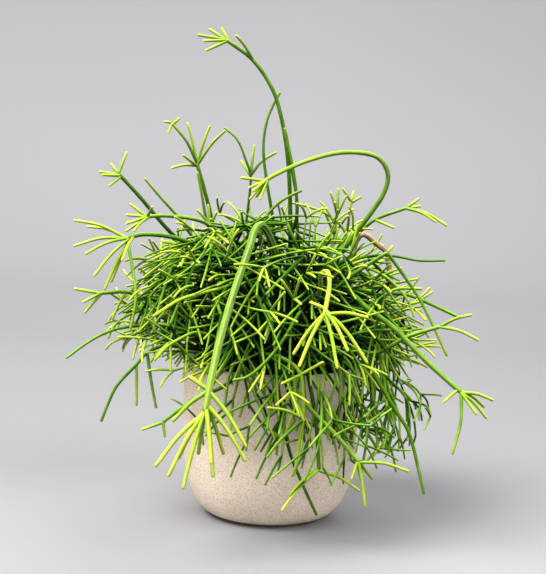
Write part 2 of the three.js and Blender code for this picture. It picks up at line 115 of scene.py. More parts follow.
def revolve(profile, sides, wave=1.0):
    # a closed shell: the profile turned round the Z axis, with single points at its two ends
    ends = [[0, 0, profile[0, 1]], [0, 0, profile[-1, 1]]]
    return np.vstack([turned(profile[1:-1], sides, wave), ends]), *tubeFaces(len(profile) - 2, sides)


def meshPiece(name, places, quads, triangles, material, slotName, vectors=None):
    mesh = bpy.data.meshes.new(name)
    mesh.vertices.add(len(places))
    mesh.vertices.foreach_set("co", (places * mm).astype(np.float32).ravel())
    corners = np.concatenate([quads.ravel(), triangles.ravel()]).astype(np.int32)
    sizes = np.repeat([4, 3], [len(quads), len(triangles)])
    mesh.loops.add(len(corners))
    mesh.loops.foreach_set("vertex_index", corners)
    mesh.polygons.add(len(sizes))
    mesh.polygons.foreach_set("loop_start", (np.cumsum(sizes) - sizes).astype(np.int32))
    mesh.polygons.foreach_set("use_smooth", np.ones(len(sizes), bool))
    mesh.update(calc_edges=True)
    for label, values in (vectors or {}).items():
        layer = mesh.attributes.new(label, "FLOAT_VECTOR", "POINT")
        layer.data.foreach_set("vector", values.astype(np.float32).ravel())
    mesh.materials.append(material)
    piece = bpy.data.objects.new(name, mesh)
    bpy.context.scene.collection.objects.link(piece)
    if slotName:
        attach(piece, "root")
    return piece


def newMaterial(name):
    material = bpy.data.materials.new(name)
    material.use_nodes = True
    return material


def addNode(material, kind, inputs=None, **settings):
    # an input is linked where its value is another node's socket, and otherwise set
    made = material.node_tree.nodes.new("ShaderNode" + kind)
    for label, value in settings.items():
        setattr(made, label, value)
    for label, value in (inputs or {}).items():
        if isinstance(value, bpy.types.NodeSocket):
            material.node_tree.links.new(value, made.inputs[label])
        else:
            made.inputs[label].default_value = value
    return made


def maths(material, operation, *values):
    return addNode(material, "Math", dict(enumerate(values)), operation=operation).outputs[0]


def ranged(material, value, before, after=(0.0, 1.0)):
    # one range of the value carried over to another
    return addNode(material, "MapRange", {"Value": value, "From Min": before[0], "From Max": before[1],
                                          "To Min": after[0], "To Max": after[1]}).outputs[0]


def noise(material, place, scale, detail, roughness=0.5):
    return addNode(material, "TexNoise", {"Vector": place, "Scale": scale, "Detail": detail,
                                          "Roughness": roughness}).outputs["Fac"]


def cellsOf(material, place, scale):
    return addNode(material, "TexVoronoi", {"Vector": place, "Scale": scale}).outputs


def attribute(material, name):
    return addNode(material, "Attribute", attribute_name=name).outputs["Vector"]


def axesOf(material, vector):
    return addNode(material, "SeparateXYZ", {0: vector}).outputs


def facingUp(material):
    return axesOf(material, addNode(material, "NewGeometry").outputs["Normal"])["Z"]


def stretched(material, place, scale):
    return addNode(material, "Mapping", {"Vector": place, "Scale": scale}).outputs[0]


def scaled(material, colour, factor):
    return addNode(material, "VectorMath", {0: colour, "Scale": factor}, operation="SCALE").outputs["Vector"]


def tinted(material, factor, colour, tint):
    return addNode(material, "Mix", {0: factor, 6: colour, 7: (*tint, 1)}, data_type="RGBA").outputs[2]


def rampOf(material, factor, stops):
    ramp, stops = addNode(material, "ValToRGB", {"Fac": factor}), list(stops)
    for extraStop in stops[2:]:
        ramp.color_ramp.elements.new(0.5)
    for element, (place, colour) in zip(ramp.color_ramp.elements, stops):
        element.position, element.color = place, (*colour, 1)
    return ramp.outputs["Color"]


def finishMaterial(material, look, colour, height=None):
    shader, links = material.node_tree.nodes["Principled BSDF"], material.node_tree.links
    links.new(colour, shader.inputs["Base Color"])
    shader.inputs["Roughness"].default_value = look["roughness"]
    shader.inputs["Specular IOR Level"].default_value = look["gloss"]
    if height is not None:
        strength, depth = look["relief"]
        bump = addNode(material, "Bump", {"Height": height, "Strength": strength, "Distance": depth})
        links.new(bump.outputs["Normal"], shader.inputs["Normal"])
    return material


# The pot, with its outside sizes read from the frame
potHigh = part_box("pot")[1]
pot = {"rimRadius": round(potHigh.x / mm, 2), "height": round(potHigh.z / mm, 2), "wall": 5.5,
       "shoulderRadius": 63.7, "shoulderHeight": 56.0, "footRadius": 41.0, "floor": 8.0, "footStep": 4.0,
       "footRise": 1.5, "footRound": 0.4, "footEdge": 0.5, "bodyEdge": 0.3, "lipRound": 2.75,
       "waver": 0.002, "waves": ((3, 1.0, 0.6), (5, 0.6, 2.2)), "sides": 144, "curveRows": 20,
       "wallRows": 8, "lipRows": 11, "insideRows": 14}

# Specks: cells a metre, how far out from a cell's middle they fade, and how dark they are
stoneware = {"light": (0.900, 0.765, 0.630), "dark": (0.690, 0.570, 0.445), "speck": (0.25, 0.155, 0.095),
             "cloud": (38.0, 4.0), "cloudPart": 0.35, "grain": (760.0, 3.0, 0.75), "grainPart": 0.75,
             "shades": (0.42, 0.68),
             "specks": ((1100.0, (0.50, 0.28), 0.45), (700.0, (0.32, 0.18), 0.5), (230.0, (0.12, 0.07), 0.8)),
             "speckShare": (0.5, 0.56), "paintedFootLight": 0.18, "roughness": 0.82, "gloss": 0.25,
             "relief": (0.35, 0.0003)}


def stonewareMaterial():
    material = newMaterial("stoneware")
    place = addNode(material, "TexCoord").outputs["Object"]
    cloud = maths(material, "MULTIPLY", noise(material, place, *stoneware["cloud"]), stoneware["cloudPart"])
    grain = noise(material, place, *stoneware["grain"])
    both = maths(material, "MULTIPLY_ADD", grain, stoneware["grainPart"], cloud)
    colour = rampOf(material, both, zip(stoneware["shades"], (stoneware["dark"], stoneware["light"])))
    for scale, edge, strength in stoneware["specks"]:
        cells = cellsOf(material, place, scale)
        shown = ranged(material, axesOf(material, cells["Color"])["X"], stoneware["speckShare"])
        speck = ranged(material, cells["Distance"], edge, (0.0, strength))
        speck = maths(material, "MULTIPLY", speck, shown)
        colour = tinted(material, speck, colour, stoneware["speck"])
    # painted light: the body is made paler toward the foot, where it curves under away from the lamps
    paintedFootLift = ranged(material, axesOf(material, place)["Z"], (0.0, pot["shoulderHeight"] * mm),
                   (1 + stoneware["paintedFootLight"], 1.0))
    return finishMaterial(material, stoneware, scaled(material, colour, paintedFootLift), grain)


def potOutline(inset, bottom, steps):
    # an elliptic quarter round up to the straight wall, as radius and height
    turn = np.arange(steps + 1) / steps * np.pi / 2
    radius = pot["footRadius"] - inset + (pot["shoulderRadius"] - pot["footRadius"]) * np.sin(turn)
    return np.stack([radius, bottom + (pot["shoulderHeight"] - bottom) * (1 - np.cos(turn))], 1)


def potPiece():
    # low foot set back under the body, quarter round, straight wall, round lip, and the same inside
    rise, lip, ease, u = pot["footRise"], pot["lipRound"], pot["footRound"], roundTurn(pot["sides"])
    ring = pot["footRadius"] - pot["footStep"]
    foot = [(0, 0), (ring / 2, 0), (ring - ease, 0), (ring, ease), (ring, rise - ease / 2),
            (ring + ease, rise), (pot["footRadius"] - pot["footEdge"], rise)]
    outer = potOutline(0, rise + pot["bodyEdge"], pot["curveRows"])
    shoulder = pot["shoulderRadius"], pot["shoulderHeight"]
    wall = np.linspace(shoulder, (pot["rimRadius"], pot["height"] - lip), pot["wallRows"])[1:-1]
    turn = np.linspace(0, np.pi, pot["lipRows"])
    rim = np.stack([pot["rimRadius"] - lip + lip * np.cos(turn), pot["height"] - lip + lip * np.sin(turn)], 1)
    inner = potOutline(pot["wall"], pot["floor"], pot["insideRows"])[::-1]
    profile = np.vstack([foot, outer, wall, rim, inner, [(0, pot["floor"])]])
    wave = 1 + pot["waver"] * sum(size * np.sin(count * u + start) for count, size, start in pot["waves"])
    faces = revolve(profile, pot["sides"], wave)
    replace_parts(meshPiece("stoneware_pot", *faces, stonewareMaterial(), "stoneware"), "pot")


# The soil, a slight dome, with crumbs and bark chips lying on it
soil = {"top": 102.0, "crown": 2.0, "stemDepth": 12.0, "edgeGap": 0.5, "floorGap": 0.3, "rings": 60,
        "sides": 120, "underRows": 6, "rough": 1.5, "bumps": ((6.0, 1.0), (2.4, 0.5), (1.1, 0.3)),
        "latticeSteps": (127.1, 311.7, 74.7)}

# Crumbs and chips: how many, how big and how flat
litter = {"crumb": (420, (0.8, 2.6), (0.5, 0.9)), "chip": (60, (2.2, 5.5), (0.2, 0.4)), "seed": 20,
          "width": (0.6, 1.1), "tilt": (-0.5, 0.5), "fromWall": 3.0, "sunk": 0.35, "sides": 6,
          "ringTurn": 0.8, "dent": (0.3, 2.4, 5.1)}
earth = {"dark": (0.016, 0.010, 0.007), "soil": (0.085, 0.050, 0.028), "crumb": (0.085, 0.050, 0.028),
         "chip": (0.16, 0.085, 0.045), "grain": (420.0, 5.0, 0.65), "shades": (0.36, 0.68),
         "roughness": 0.95, "gloss": 0.5, "relief": (0.8, 0.0008)}


def earthMaterial(name):
    material = newMaterial(name)
    grain = noise(material, addNode(material, "TexCoord").outputs["Object"], *earth["grain"])
    colour = rampOf(material, grain, zip(earth["shades"], (earth["dark"], earth[name])))
    return finishMaterial(material, earth, colour, grain)


def latticeNoise(x, y, number):
    # smooth noise: a random height at each whole place, eased in between
    cellX, cellY = np.floor(x), np.floor(y)
    easeX, easeY = (t * t * (3 - 2 * t) for t in (x - cellX, y - cellY))

    def height(i, j):
        first, second, third = soil["latticeSteps"]
        return scattered(i * first + j * second + number * third)

    low = height(cellX, cellY) * (1 - easeX) + height(cellX + 1, cellY) * easeX
    high = height(cellX, cellY + 1) * (1 - easeX) + height(cellX + 1, cellY + 1) * easeX
    return low * (1 - easeY) + high * easeY - 0.5


def soilHeight(x, y):
    edge = pot["rimRadius"] - pot["wall"]
    dome = soil["top"] + soil["crown"] * (1 - np.clip(np.hypot(x, y) / edge, 0, 1) ** 2)
    rough = 0
    for number, (size, part) in enumerate(soil["bumps"], 1):
        rough = rough + part * latticeNoise(x / size, y / size, number)
    return dome + soil["rough"] * rough


def soilPiece():
    # the pot's inside from below, closed by rings that follow the soil's height
    reach = np.linspace(pot["rimRadius"] - pot["wall"] - soil["edgeGap"], 0, soil["rings"])[:-1]
    gap = soil["floorGap"]
    under = [(0, pot["floor"] + gap), *potOutline(pot["wall"] + gap, pot["floor"] + gap, soil["underRows"])]
    profile = np.vstack([under, np.stack([reach, np.full(len(reach), soil["top"])], 1), [(0, soil["top"])]])
    places, quads, triangles = revolve(profile, soil["sides"])
    upper = places[:, 2] > soil["top"] - 1
    places[upper, 2] = soilHeight(places[upper, 0], places[upper, 1])
    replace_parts(meshPiece("soil_bed", places, quads, triangles, earthMaterial("soil"), "soil"), "soil")


def litterPiece(kind):
    # small balls of three rings, each stretched, turned and dented by its own draws
    (count, size, flat), sides, around = litter[kind], litter["sides"], (0, fullTurn)
    ranges = around, (0, 1), size, litter["width"], flat, around, litter["tilt"]
    bearing, out, radius, wide, thin, spin, tilt = drawRows(count, *ranges)
    reach = (pot["rimRadius"] - pot["wall"] - litter["fromWall"]) * np.sqrt(out)
    x, y = reach * np.cos(bearing), reach * np.sin(bearing)
    u, h = roundTurn(sides), np.array([[-1], [0], [1]]) * litter["ringTurn"]
    rings = np.stack([np.cos(h) * np.cos(u + h), np.cos(h) * np.sin(u + h), np.sin(h) + 0 * u], 2)
    ball = np.vstack([rings.reshape(-1, 3), [(0, 0, -1), (0, 0, 1)]])
    deep, byPoint, byLump = litter["dent"]
    dent = 1 + deep * np.sin(np.arange(len(ball)) * byPoint + np.arange(count)[:, None] * byLump)
    local = ball * dent[..., None] * np.stack([radius, radius * wide, radius * thin], 1)[:, None]
    cosSpin, sinSpin, cosTilt, sinTilt = (function(angle)[:, None] for angle in (spin, tilt)
                                          for function in (np.cos, np.sin))
    px, py, pz = local[..., 0], local[..., 1], local[..., 2]
    px, pz = px * cosTilt + pz * sinTilt, pz * cosTilt - px * sinTilt
    px, py = px * cosSpin - py * sinSpin, px * sinSpin + py * cosSpin
    centre = np.stack([x, y, soilHeight(x, y) + radius * thin * litter["sunk"]], 1)
    places = (centre[:, None] + np.stack([px, py, pz], 2)).reshape(-1, 3)
    offsets = (np.arange(count) * len(ball))[:, None, None]
    quads, triangles = ((faces + offsets).reshape(-1, faces.shape[1]) for faces in tubeFaces(len(h), sides))
    meshPiece(f"soil_{kind}s", places, quads, triangles, earthMaterial(kind), "soil")


# Stems and clumps grow by the same rule and the same draws as the solids that they replace
stem = {"cornerReach": {3: 1.3, 4: 1.15}, "span": 18.0, "overSoil": 3.0, "rimClearance": 12.0,
        "risePart": 0.72, "riseReach": (0.08, 0.5), "twigGirth": (2.3, 1.9), "tipGirth": (2.1, 1.1),
        "tipArch": 0.07, "straightTip": 22.0, "tipStagger": 0.7, "upright": 0.9, "shortest": 1e-4}
youthOf = {"shoot": (0.10, 0.45), "twig": (0.3, 0.7), "tip": (0.54, 0.92), "leader": (0.04, 0.12),
           "branch": (0.14, 0.42), "fine": (0.2, 0.64), "hanging": (0.22, 0.58)}

# Long shoots: place in the soil, girths, the points passed, tips from the end, twigs from a point,
# and how young they are from the soil to the end
shoots = [
    {"name": "sky", "youth": (0.1, 0.34), "root": [14, 8], "girth": [3.4, 2.6],
     "route": [[10, 5, 203], [9, 4, 228], [7, 3, 254], [4, 2, 275], [-6, 0, 310], [-21, -2, 331],
               [-41, -6, 345]],
     "tips": [[-62, -2, 348], [-57, -14, 343], [-55, -16, 336], [-54, 2, 353], [-45, 0, 354]],
     "twigs": [{"at": 0, "girth": [2.8, 1.8],
                "route": [[14, -2, 221], [11, -5, 250], [6, -7, 272], [3, -8, 284]]},
               {"at": 5, "route": [[-34, -12, 348]]}]},
    {"name": "bow", "root": [2, 20], "girth": [3.2, 1.8],
     "route": [[-3, 14, 215], [-9, 13, 246], [-12, 11, 269], [-10, 10, 289], [-5, 9, 302], [-1, 8, 310]]},
    {"name": "hoop", "youth": (0.06, 0.56), "root": [33, -12], "girth": [4.0, 2.8],
     "route": [[43, -14, 189], [55, -14, 208], [75, -15, 239], [78, -16, 251], [75, -17, 260],
               [68, -18, 266], [46, -21, 268], [22, -24, 262], [-2, -28, 251], [-10, -30, 246]],
     "tips": [[-27, -32, 248], [-21, -38, 241], [-20, -36, 233], [-18, -42, 239], [-13, -40, 233],
              [-16, -24, 234]]},
    {"name": "front", "youth": (0.16, 0.72), "tipYouth": (0.66, 0.98), "root": [6, -32],
     "girth": [5.4, 4.7], "tipGirth": [2.8, 1.5],
     "route": [[3, -42, 169], [2, -44, 181], [-1, -47, 198], [-7, -52, 212], [-11, -58, 217],
               [-15, -66, 214], [-18, -76, 203], [-28, -93, 171], [-36, -106, 139], [-41, -115, 111],
               [-43, -118, 97]],
     "tips": [[-74, -128, 62], [-65, -132, 57], [-55, -136, 50], [-60, -112, 64], [-47, -110, 67],
              [-37, -140, 68], [-36, -126, 56], [-30, -112, 68], [-15, -126, 67]],
     "twigs": [{"at": 9, "route": [[-64, -122, 91]]},
               {"at": 9, "route": [[-15, -128, 77]]},
               {"at": 9, "route": [[-55, -108, 119]]}]},
    {"name": "left_fan", "youth": (0.06, 0.34), "root": [-26, -2], "girth": [3.6, 3.0],
     "route": [[-29, -8, 179], [-41, -12, 188], [-61, -16, 199], [-77, -20, 204], [-97, -26, 205],
               [-106, -28, 202]],
     "tips": [[-144, -30, 214], [-136, -18, 209], [-143, -36, 196], [-134, -40, 191], [-127, -44, 176],
              [-120, -40, 166], [-116, -34, 171], [-107, -50, 188]],
     "twigs": [{"at": 5, "route": [[-97, -46, 162], [-100, -48, 140]]}]},
    {"name": "left_crest", "youth": (0.08, 0.4), "root": [-14, 18], "girth": [3.0, 2.6],
     "route": [[-13, 10, 185], [-25, 5, 197], [-43, 0, 208], [-56, -3, 215], [-81, -8, 218],
               [-95, -10, 217]],
     "tips": [[-109, -14, 218], [-107, -8, 226], [-89, -24, 225], [-108, -20, 212], [-109, -16, 206],
              [-102, -26, 207]]},
    {"name": "left_rise", "youth": (0.08, 0.36), "root": [-38, 20], "girth": [3.2, 2.8],
     "route": [[-45, 18, 176], [-62, 14, 190], [-80, 8, 207], [-101, 2, 231], [-116, -2, 247]],
     "tips": [[-111, 4, 263], [-123, 6, 254], [-130, -4, 248], [-127, -12, 246], [-122, -10, 238]],
     "twigs": [{"at": 0, "girth": [2.8, 1.8],
                "route": [[-56, 22, 192], [-75, 16, 218], [-86, 12, 230], [-98, 8, 244]]}]},
    {"name": "fork", "root": [-24, 36], "girth": [3.2, 2.8],
     "route": [[-41, 34, 185], [-49, 29, 214], [-54, 26, 233], [-61, 24, 256]],
     "tips": [[-69, 24, 286], [-52, 22, 284], [-40, 12, 281], [-79, 12, 252], [-71, 12, 262]],
     "twigs": [{"at": 3, "route": [[-69, 20, 272], [-80, 16, 285]],
                "tips": [[-86, 18, 286], [-82, 12, 277], [-74, 20, 289]]},
               {"at": 0, "girth": [2.6, 1.8], "route": [[-52, 24, 211], [-57, 18, 236], [-60, 15, 250]]}]},
    {"name": "crook", "root": [-6, 36], "girth": [2.6, 1.6],
     "route": [[-23, 32, 211], [-22, 30, 226], [-21, 26, 248], [-25, 24, 260], [-32, 24, 275],
               [-42, 25, 283]],
     "twigs": [{"at": 2, "route": [[-13, 32, 259], [-2, 36, 266]]},
               {"at": 2, "route": [[-19, 30, 271]]},
               {"at": 2, "route": [[-29, 36, 259]]}]},
    {"name": "right_wing", "root": [38, 14], "girth": [2.8, 2.4],
     "route": [[44, 22, 186], [62, 18, 210], [72, 15, 219], [95, 10, 229]],
     "tips": [[104, 14, 236], [124, 2, 217], [115, -6, 220], [106, 20, 230]],
     "twigs": [{"at": 2, "route": [[86, 4, 214]]},
               {"at": 0, "route": [[52, 36, 206], [55, 36, 231]],
                "tips": [[48, 34, 241], [57, 40, 239], [63, 38, 235]]}]},
    {"name": "right_finger", "root": [48, 2], "girth": [3.2, 1.6],
     "route": [[51, 6, 183], [63, 4, 191], [76, 0, 194], [88, -6, 194], [103, -10, 192], [122, -14, 193]]},
    {"name": "right_drop", "root": [28, -28], "girth": [3.0, 2.6],
     "route": [[35, -50, 167], [41, -53, 173], [54, -56, 185], [76, -60, 201]],
     "tips": [[80, -54, 205]],
     "twigs": [{"at": 3, "girth": [2.4, 1.8], "route": [[100, -60, 169], [120, -64, 131]]}]},
    {"name": "right_reach", "root": [40, -22], "girth": [4.0, 3.4],
     "route": [[49, -42, 171], [63, -64, 163], [80, -75, 152], [104, -85, 130], [127, -90, 111]],
     "tips": [[150, -84, 105], [145, -92, 94], [137, -100, 98], [145, -78, 99], [114, -98, 105]],
     "twigs": [{"at": 4, "route": [[127, -96, 93], [122, -98, 70]]}]},
    {"name": "right_pair", "root": [48, -10], "girth": [3.0, 2.6],
     "route": [[55, -46, 132], [71, -60, 131], [91, -68, 144], [113, -74, 153]],
     "tips": [[134, -76, 162], [139, -80, 145]],
     "twigs": [{"at": 2, "route": [[101, -60, 141]]}]},
    {"name": "right_back", "root": [42, 26], "girth": [3.0, 2.4],
     "route": [[57, 10, 162], [75, -8, 166], [94, -18, 168], [115, -26, 161], [132, -30, 154]]},
    {"name": "right_tail", "youth": (0.1, 0.35), "root": [36, -34], "girth": [4.0, 2.0],
     "route": [[57, -64, 133], [68, -72, 120], [84, -80, 96], [93, -82, 83], [106, -86, 39]]},
    {"name": "front_right", "root": [16, -44], "girth": [3.4, 2.8],
     "route": [[7, -70, 124], [13, -78, 113], [25, -86, 97], [42, -94, 82], [60, -99, 63]],
     "tips": [[94, -96, 57], [65, -106, 34], [55, -104, 52], [70, -92, 50], [63, -90, 47]]},
    {"name": "front_low", "youth": (0.1, 0.35), "root": [26, -40], "girth": [3.0, 2.6],
     "route": [[24, -74, 119], [28, -78, 101], [31, -80, 84], [34, -85, 53]],
     "tips": [[62, -90, 41], [9, -104, 29], [14, -90, 36]]},
    {"name": "front_tail", "youth": (0.1, 0.4), "root": [4, -46], "girth": [3.0, 2.0],
     "route": [[-2, -70, 132], [3, -76, 115], [7, -78, 91], [15, -77, 60], [34, -79, 20]]},
    {"name": "bright_fan", "youth": (0.5, 0.8), "tipYouth": (0.64, 0.96), "root": [18, -26],
     "girth": [3.6, 3.0], "tipGirth": [2.5, 1.3],
     "route": [[31, -60, 174], [31, -72, 186], [35, -82, 188], [36, -90, 180], [33, -102, 162]],
     "tips": [[62, -104, 161], [13, -112, 136], [17, -124, 130], [42, -120, 129], [48, -128, 142],
              [62, -112, 132], [23, -94, 169]]},
    {"name": "mid_low", "youth": (0.2, 0.6), "root": [-6, -42], "girth": [3.0, 2.4],
     "route": [[-7, -74, 129], [1, -84, 131], [14, -92, 126], [19, -94, 120], [22, -98, 91]],
     "tips": [[-3, -104, 99], [17, -100, 52]],
     "twigs": [{"at": 3, "route": [[6, -104, 115]]},
               {"at": 3, "route": [[34, -98, 130]]},
               {"at": 4, "route": [[7, -106, 78], [-2, -108, 66]]}]},
    {"name": "left_low", "youth": (0.12, 0.5), "root": [-46, -8], "girth": [3.0, 1.8],
     "route": [[-78, -20, 140], [-98, -30, 140], [-112, -36, 138], [-126, -42, 132], [-145, -48, 118]]},
    {"name": "left_droop", "youth": (0.1, 0.3), "root": [-42, -20], "girth": [3.0, 2.0],
     "route": [[-76, -44, 129], [-88, -48, 124], [-95, -52, 116], [-108, -56, 101], [-118, -59, 76]],
     "twigs": [{"at": 1, "route": [[-84, -54, 104], [-80, -55, 86]]},
               {"at": 2, "route": [[-94, -54, 87]]}]},
    {"name": "left_front", "root": [-22, -42], "girth": [3.2, 2.4],
     "route": [[-22, -68, 116], [-34, -74, 106], [-51, -80, 99], [-73, -88, 83]],
     "tips": [[-87, -90, 78], [-71, -88, 73]]},
    {"name": "left_mid", "youth": (0.06, 0.34), "root": [-48, 5], "girth": [3.0, 2.6],
     "route": [[-54, -10, 156], [-79, -18, 157], [-96, -24, 161], [-106, -28, 164], [-124, -33, 163]],
     "tips": [[-142, -36, 166], [-135, -42, 157], [-134, -38, 149]],
     "twigs": [{"at": 3, "route": [[-115, -32, 144]]}]},
    {"name": "bright_bow", "youth": (0.45, 0.75), "root": [-8, -26], "girth": [3.2, 2.2],
     "route": [[-24, -62, 176], [-38, -70, 173], [-51, -76, 170], [-64, -82, 166], [-81, -90, 155]]},
    {"name": "woody", "root": [33, 39], "girth": [4.6, 4.0],
     "route": [[57, 33, 186], [60, 32, 202], [65, 32, 207], [75, 34, 200], [83, 35, 194], [85, 36, 186],
               [89, 38, 163]]},
]

# Thinner shoots beside them, with no solid of their own
sprigs = [
    {"name": "sky_twin", "youth": (0.1, 0.4), "root": [23, -3], "girth": [2.9, 1.8],
     "route": [[15, -2, 209], [13, -3, 235], [9, -5, 255], [6, -7, 272], [3, -8, 284]]},
    {"name": "right_elbow", "youth": (0.2, 0.6), "root": [24, -20], "girth": [2.8, 2.0],
     "route": [[26, -36, 164], [38, -42, 162], [50, -45, 161], [63, -48, 160], [73, -50, 168],
               [84, -51, 175], [102, -53, 176]]},
    {"name": "right_cross", "youth": (0.15, 0.5), "root": [20, 8], "girth": [2.6, 2.0],
     "route": [[45, -4, 188], [55, -16, 189], [67, -24, 186], [75, -28, 183], [88, -32, 173],
               [96, -35, 163]],
     "tips": [[103, -40, 166], [99, -38, 154]]},
    {"name": "bow_left", "youth": (0.25, 0.6), "root": [-12, -40], "girth": [2.6, 1.8],
     "route": [[-40, -72, 140], [-52, -78, 144], [-61, -83, 141], [-72, -88, 134], [-79, -92, 126]]},
    {"name": "low_bow", "youth": (0.15, 0.45), "root": [14, -40], "girth": [3.0, 2.0],
     "route": [[17, -88, 161], [11, -94, 151], [4, -100, 140], [-6, -104, 128], [-17, -106, 119],
               [-26, -107, 117]]},
    {"name": "crown_arc", "youth": (0.2, 0.75), "root": [28, 28], "girth": [2.6, 1.7],
     "route": [[57, 26, 195], [52, 24, 206], [47, 22, 214], [34, 19, 223], [18, 16, 228], [7, 14, 230]]},
    {"name": "crown_sprig", "youth": (0.3, 0.7), "root": [16, 30], "girth": [2.6, 2.0],
     "route": [[40, 34, 190], [43, 33, 206], [45, 32, 222]],
     "tips": [[39, 30, 238], [45, 34, 241], [51, 29, 236], [42, 24, 231]],
     "twigs": [{"at": 1, "route": [[35, 28, 224]]},
               {"at": 1, "route": [[52, 24, 221]]}]},
    {"name": "crown_spray", "youth": (0.3, 0.7), "root": [-24, 24], "girth": [2.6, 2.0],
     "route": [[-42, 26, 184], [-47, 24, 199], [-50, 22, 211]],
     "tips": [[-60, 20, 222], [-52, 24, 226], [-45, 18, 221], [-49, 12, 216]]},
    {"name": "crown_hook", "youth": (0.15, 0.5), "root": [-10, -12], "girth": [2.8, 2.0],
     "route": [[-11, -16, 209], [-7, -16, 222], [-3, -15, 227], [4, -14, 233], [17, -13, 240]]},
]


def framesAlong(points, firstSide):
    # along: from the point before to the point after; side: carried on, less its part along the line
    after = np.vstack([points[1:], points[-1:]])
    before = np.vstack([points[:1], points[:-1]])
    along = unit(after - before)
    side, sides = np.asarray(firstSide, float), []
    for direction in along:
        side = unit(side - direction * side.dot(direction))
        sides.append(side)
    side = np.array(sides)
    return along, side, np.cross(along, side)


def evenGirths(girth, points):
    return girth[0] + (girth[1] - girth[0]) * np.arange(len(points)) / (len(points) - 1)


def strand(points, girth, sides, firstSide, kind, youth=None):
    points = np.asarray(points, float)
    return {"points": points, "girths": evenGirths(girth, points), "sides": sides, "kind": kind,
            "frames": framesAlong(points, firstSide), "branches": [], "youth": youth or youthOf[kind]}


def endCorners(piece):
    # where the solid has its corners at the end of the stem
    along, side, across = (axis[-1] for axis in piece["frames"])
    reach, angle = stem["cornerReach"][piece["sides"]] * piece["girths"][-1] / 2, roundTurn(piece["sides"])
    return piece["points"][-1] + reach * (np.outer(np.cos(angle), side) + np.outer(np.sin(angle), across))


def smoothRoute(route, spanLength):
    # centripetal Catmull-Rom through the route, about one point a span
    route = np.asarray(route, float)
    ends = [2 * route[0] - route[1], *route, 2 * route[-1] - route[-2]]
    points = [route[0]]
    for i in range(len(route) - 1):
        p0, p1, p2, p3 = ends[i:i + 4]
        t0, t1, t2 = (np.linalg.norm(b - a) ** 0.5 for a, b in ((p0, p1), (p1, p2), (p2, p3)))
        t1 = t1 if t1 > stem["shortest"] else 1.0
        t0, t2 = (t if t > stem["shortest"] else t1 for t in (t0, t2))
        m1 = ((p1 - p0) / t0 - (p2 - p0) / (t0 + t1) + (p2 - p1) / t1) * t1
        m2 = ((p2 - p1) / t1 - (p3 - p1) / (t1 + t2) + (p3 - p2) / t2) * t1
        square, cube = 3 * (p2 - p1) - 2 * m1 - m2, 2 * (p1 - p2) + m1 + m2
        spans = max(1, int(np.linalg.norm(p2 - p1) / spanLength + 0.5))
        for t in (np.arange(spans) + 1) / spans:
            points.append(p1 + m1 * t + square * t ** 2 + cube * t ** 3)
    return np.array(points)


def sideOf(points):
    along = unit(points[1] - points[0])
    return (1, 0, 0) if abs(along[2]) > stem["upright"] else (0, 0, 1)


def rise(root, first):
    # upright out of the soil and over the rim before it heads for its first point
    over = soil["top"] + stem["risePart"] * (first[2] - soil["top"])
    peak = max(pot["height"] + stem["rimClearance"], over)
    foot = np.array([root[0], root[1], soil["top"] + stem["overSoil"]])
    low, high = (foot + (first - foot) * part for part in stem["riseReach"])
    low[2], high[2] = (soil["top"] + peak) / 2, peak
    return [foot, low, high]


def tipStrands(before, end, tips, girth, youth=None):
    back = unit(before - end)
    made = []
    for i, tip in enumerate(tips):
        start, to = end + back * stem["tipStagger"] * i, np.asarray(tip, float)
        length = np.linalg.norm(to - start)
        middle = (start + to) / 2 + np.array([0, 0, stem["tipArch"] * length])
        points = [start, to] if length < stem["straightTip"] else [start, middle, to]
        made.append(strand(points, girth, 3, sideOf(np.array(points)), "tip", youth))
    return made


def twigStrands(before, start, twig, girth):
    route = np.array([start, *twig["route"]], float)
    if len(route) == 2:
        return tipStrands(before, start, twig["route"], girth)
    points = smoothRoute(route, stem["span"])
    return [strand(points, twig.get("girth", stem["twigGirth"]), 3, sideOf(points), "twig"),
            *tipStrands(route[-2], route[-1], twig.get("tips", []), stem["tipGirth"])]


def shootStrands(shoot):
    passes = np.array(shoot["route"], float)
    buried = np.array([*shoot["root"], soil["top"] - soil["stemDepth"]], float)
    points = np.vstack([buried, smoothRoute([*rise(shoot["root"], passes[0]), *passes], stem["span"])])
    girth = shoot.get("tipGirth", stem["tipGirth"])
    made = [strand(points, shoot["girth"], 4, sideOf(points), "shoot", shoot.get("youth")),
            *tipStrands(passes[-2], passes[-1], shoot.get("tips", []), girth, shoot.get("tipYouth"))]
    for twig in shoot.get("twigs", []):
        before = passes[twig["at"] - 1] if twig["at"] > 0 else points[0]
        made += twigStrands(before, passes[twig["at"]], twig, girth)
    return [settle(piece) for piece in made]


# The clumps: leaders from the soil, three orders of branches, and the room that they keep to each other
clump = {"seed": 20, "count": 31, "rootReach": 50.0, "rootSpacing": 7.4, "rootTries": 2000,
         "rootSteps": (0.5698402910, 0.7548776662), "tries": 24, "taper": 0.2, "leftTaper": 0.55,
         "girth": ((2.9, 2.5), (2.6, 2.3), (2.4, 2.0), (2.1, 1.5), (1.9, 1.3)),
         "length": (0, 44, 38, 30, 26), "spans": (5, 3, 2, 2, 2), "chance": (1, 1, 1, 1, 0.7),
         "spread": (0.5, 1.15), "drop": (-0.05, 0.22), "turn": (-0.3, 0.3), "longer": (0.8, 1.2),
         "spreadFrom": (0.4, 0.75), "leaderTurn": (-0.8, 0.8), "spreadLean": (0.34, 0.62),
         "spreadLength": (54, 74), "uprightLean": (0.1, 0.34), "leastLean": 0.04, "uprightLength": (66, 94),
         "shorterOut": 14.0, "outPull": 0.03, "turnBack": (0.97, 3.0), "crownWidth": 99.0,
         "crownShift": -2.0, "crownMiddle": 140.0, "crownRise": 76.0, "crownEdge": 1.04, "lowestTip": 100.0,
         "leftLift": 20.0, "frontTrail": 38.0, "frontFrom": 0.3}
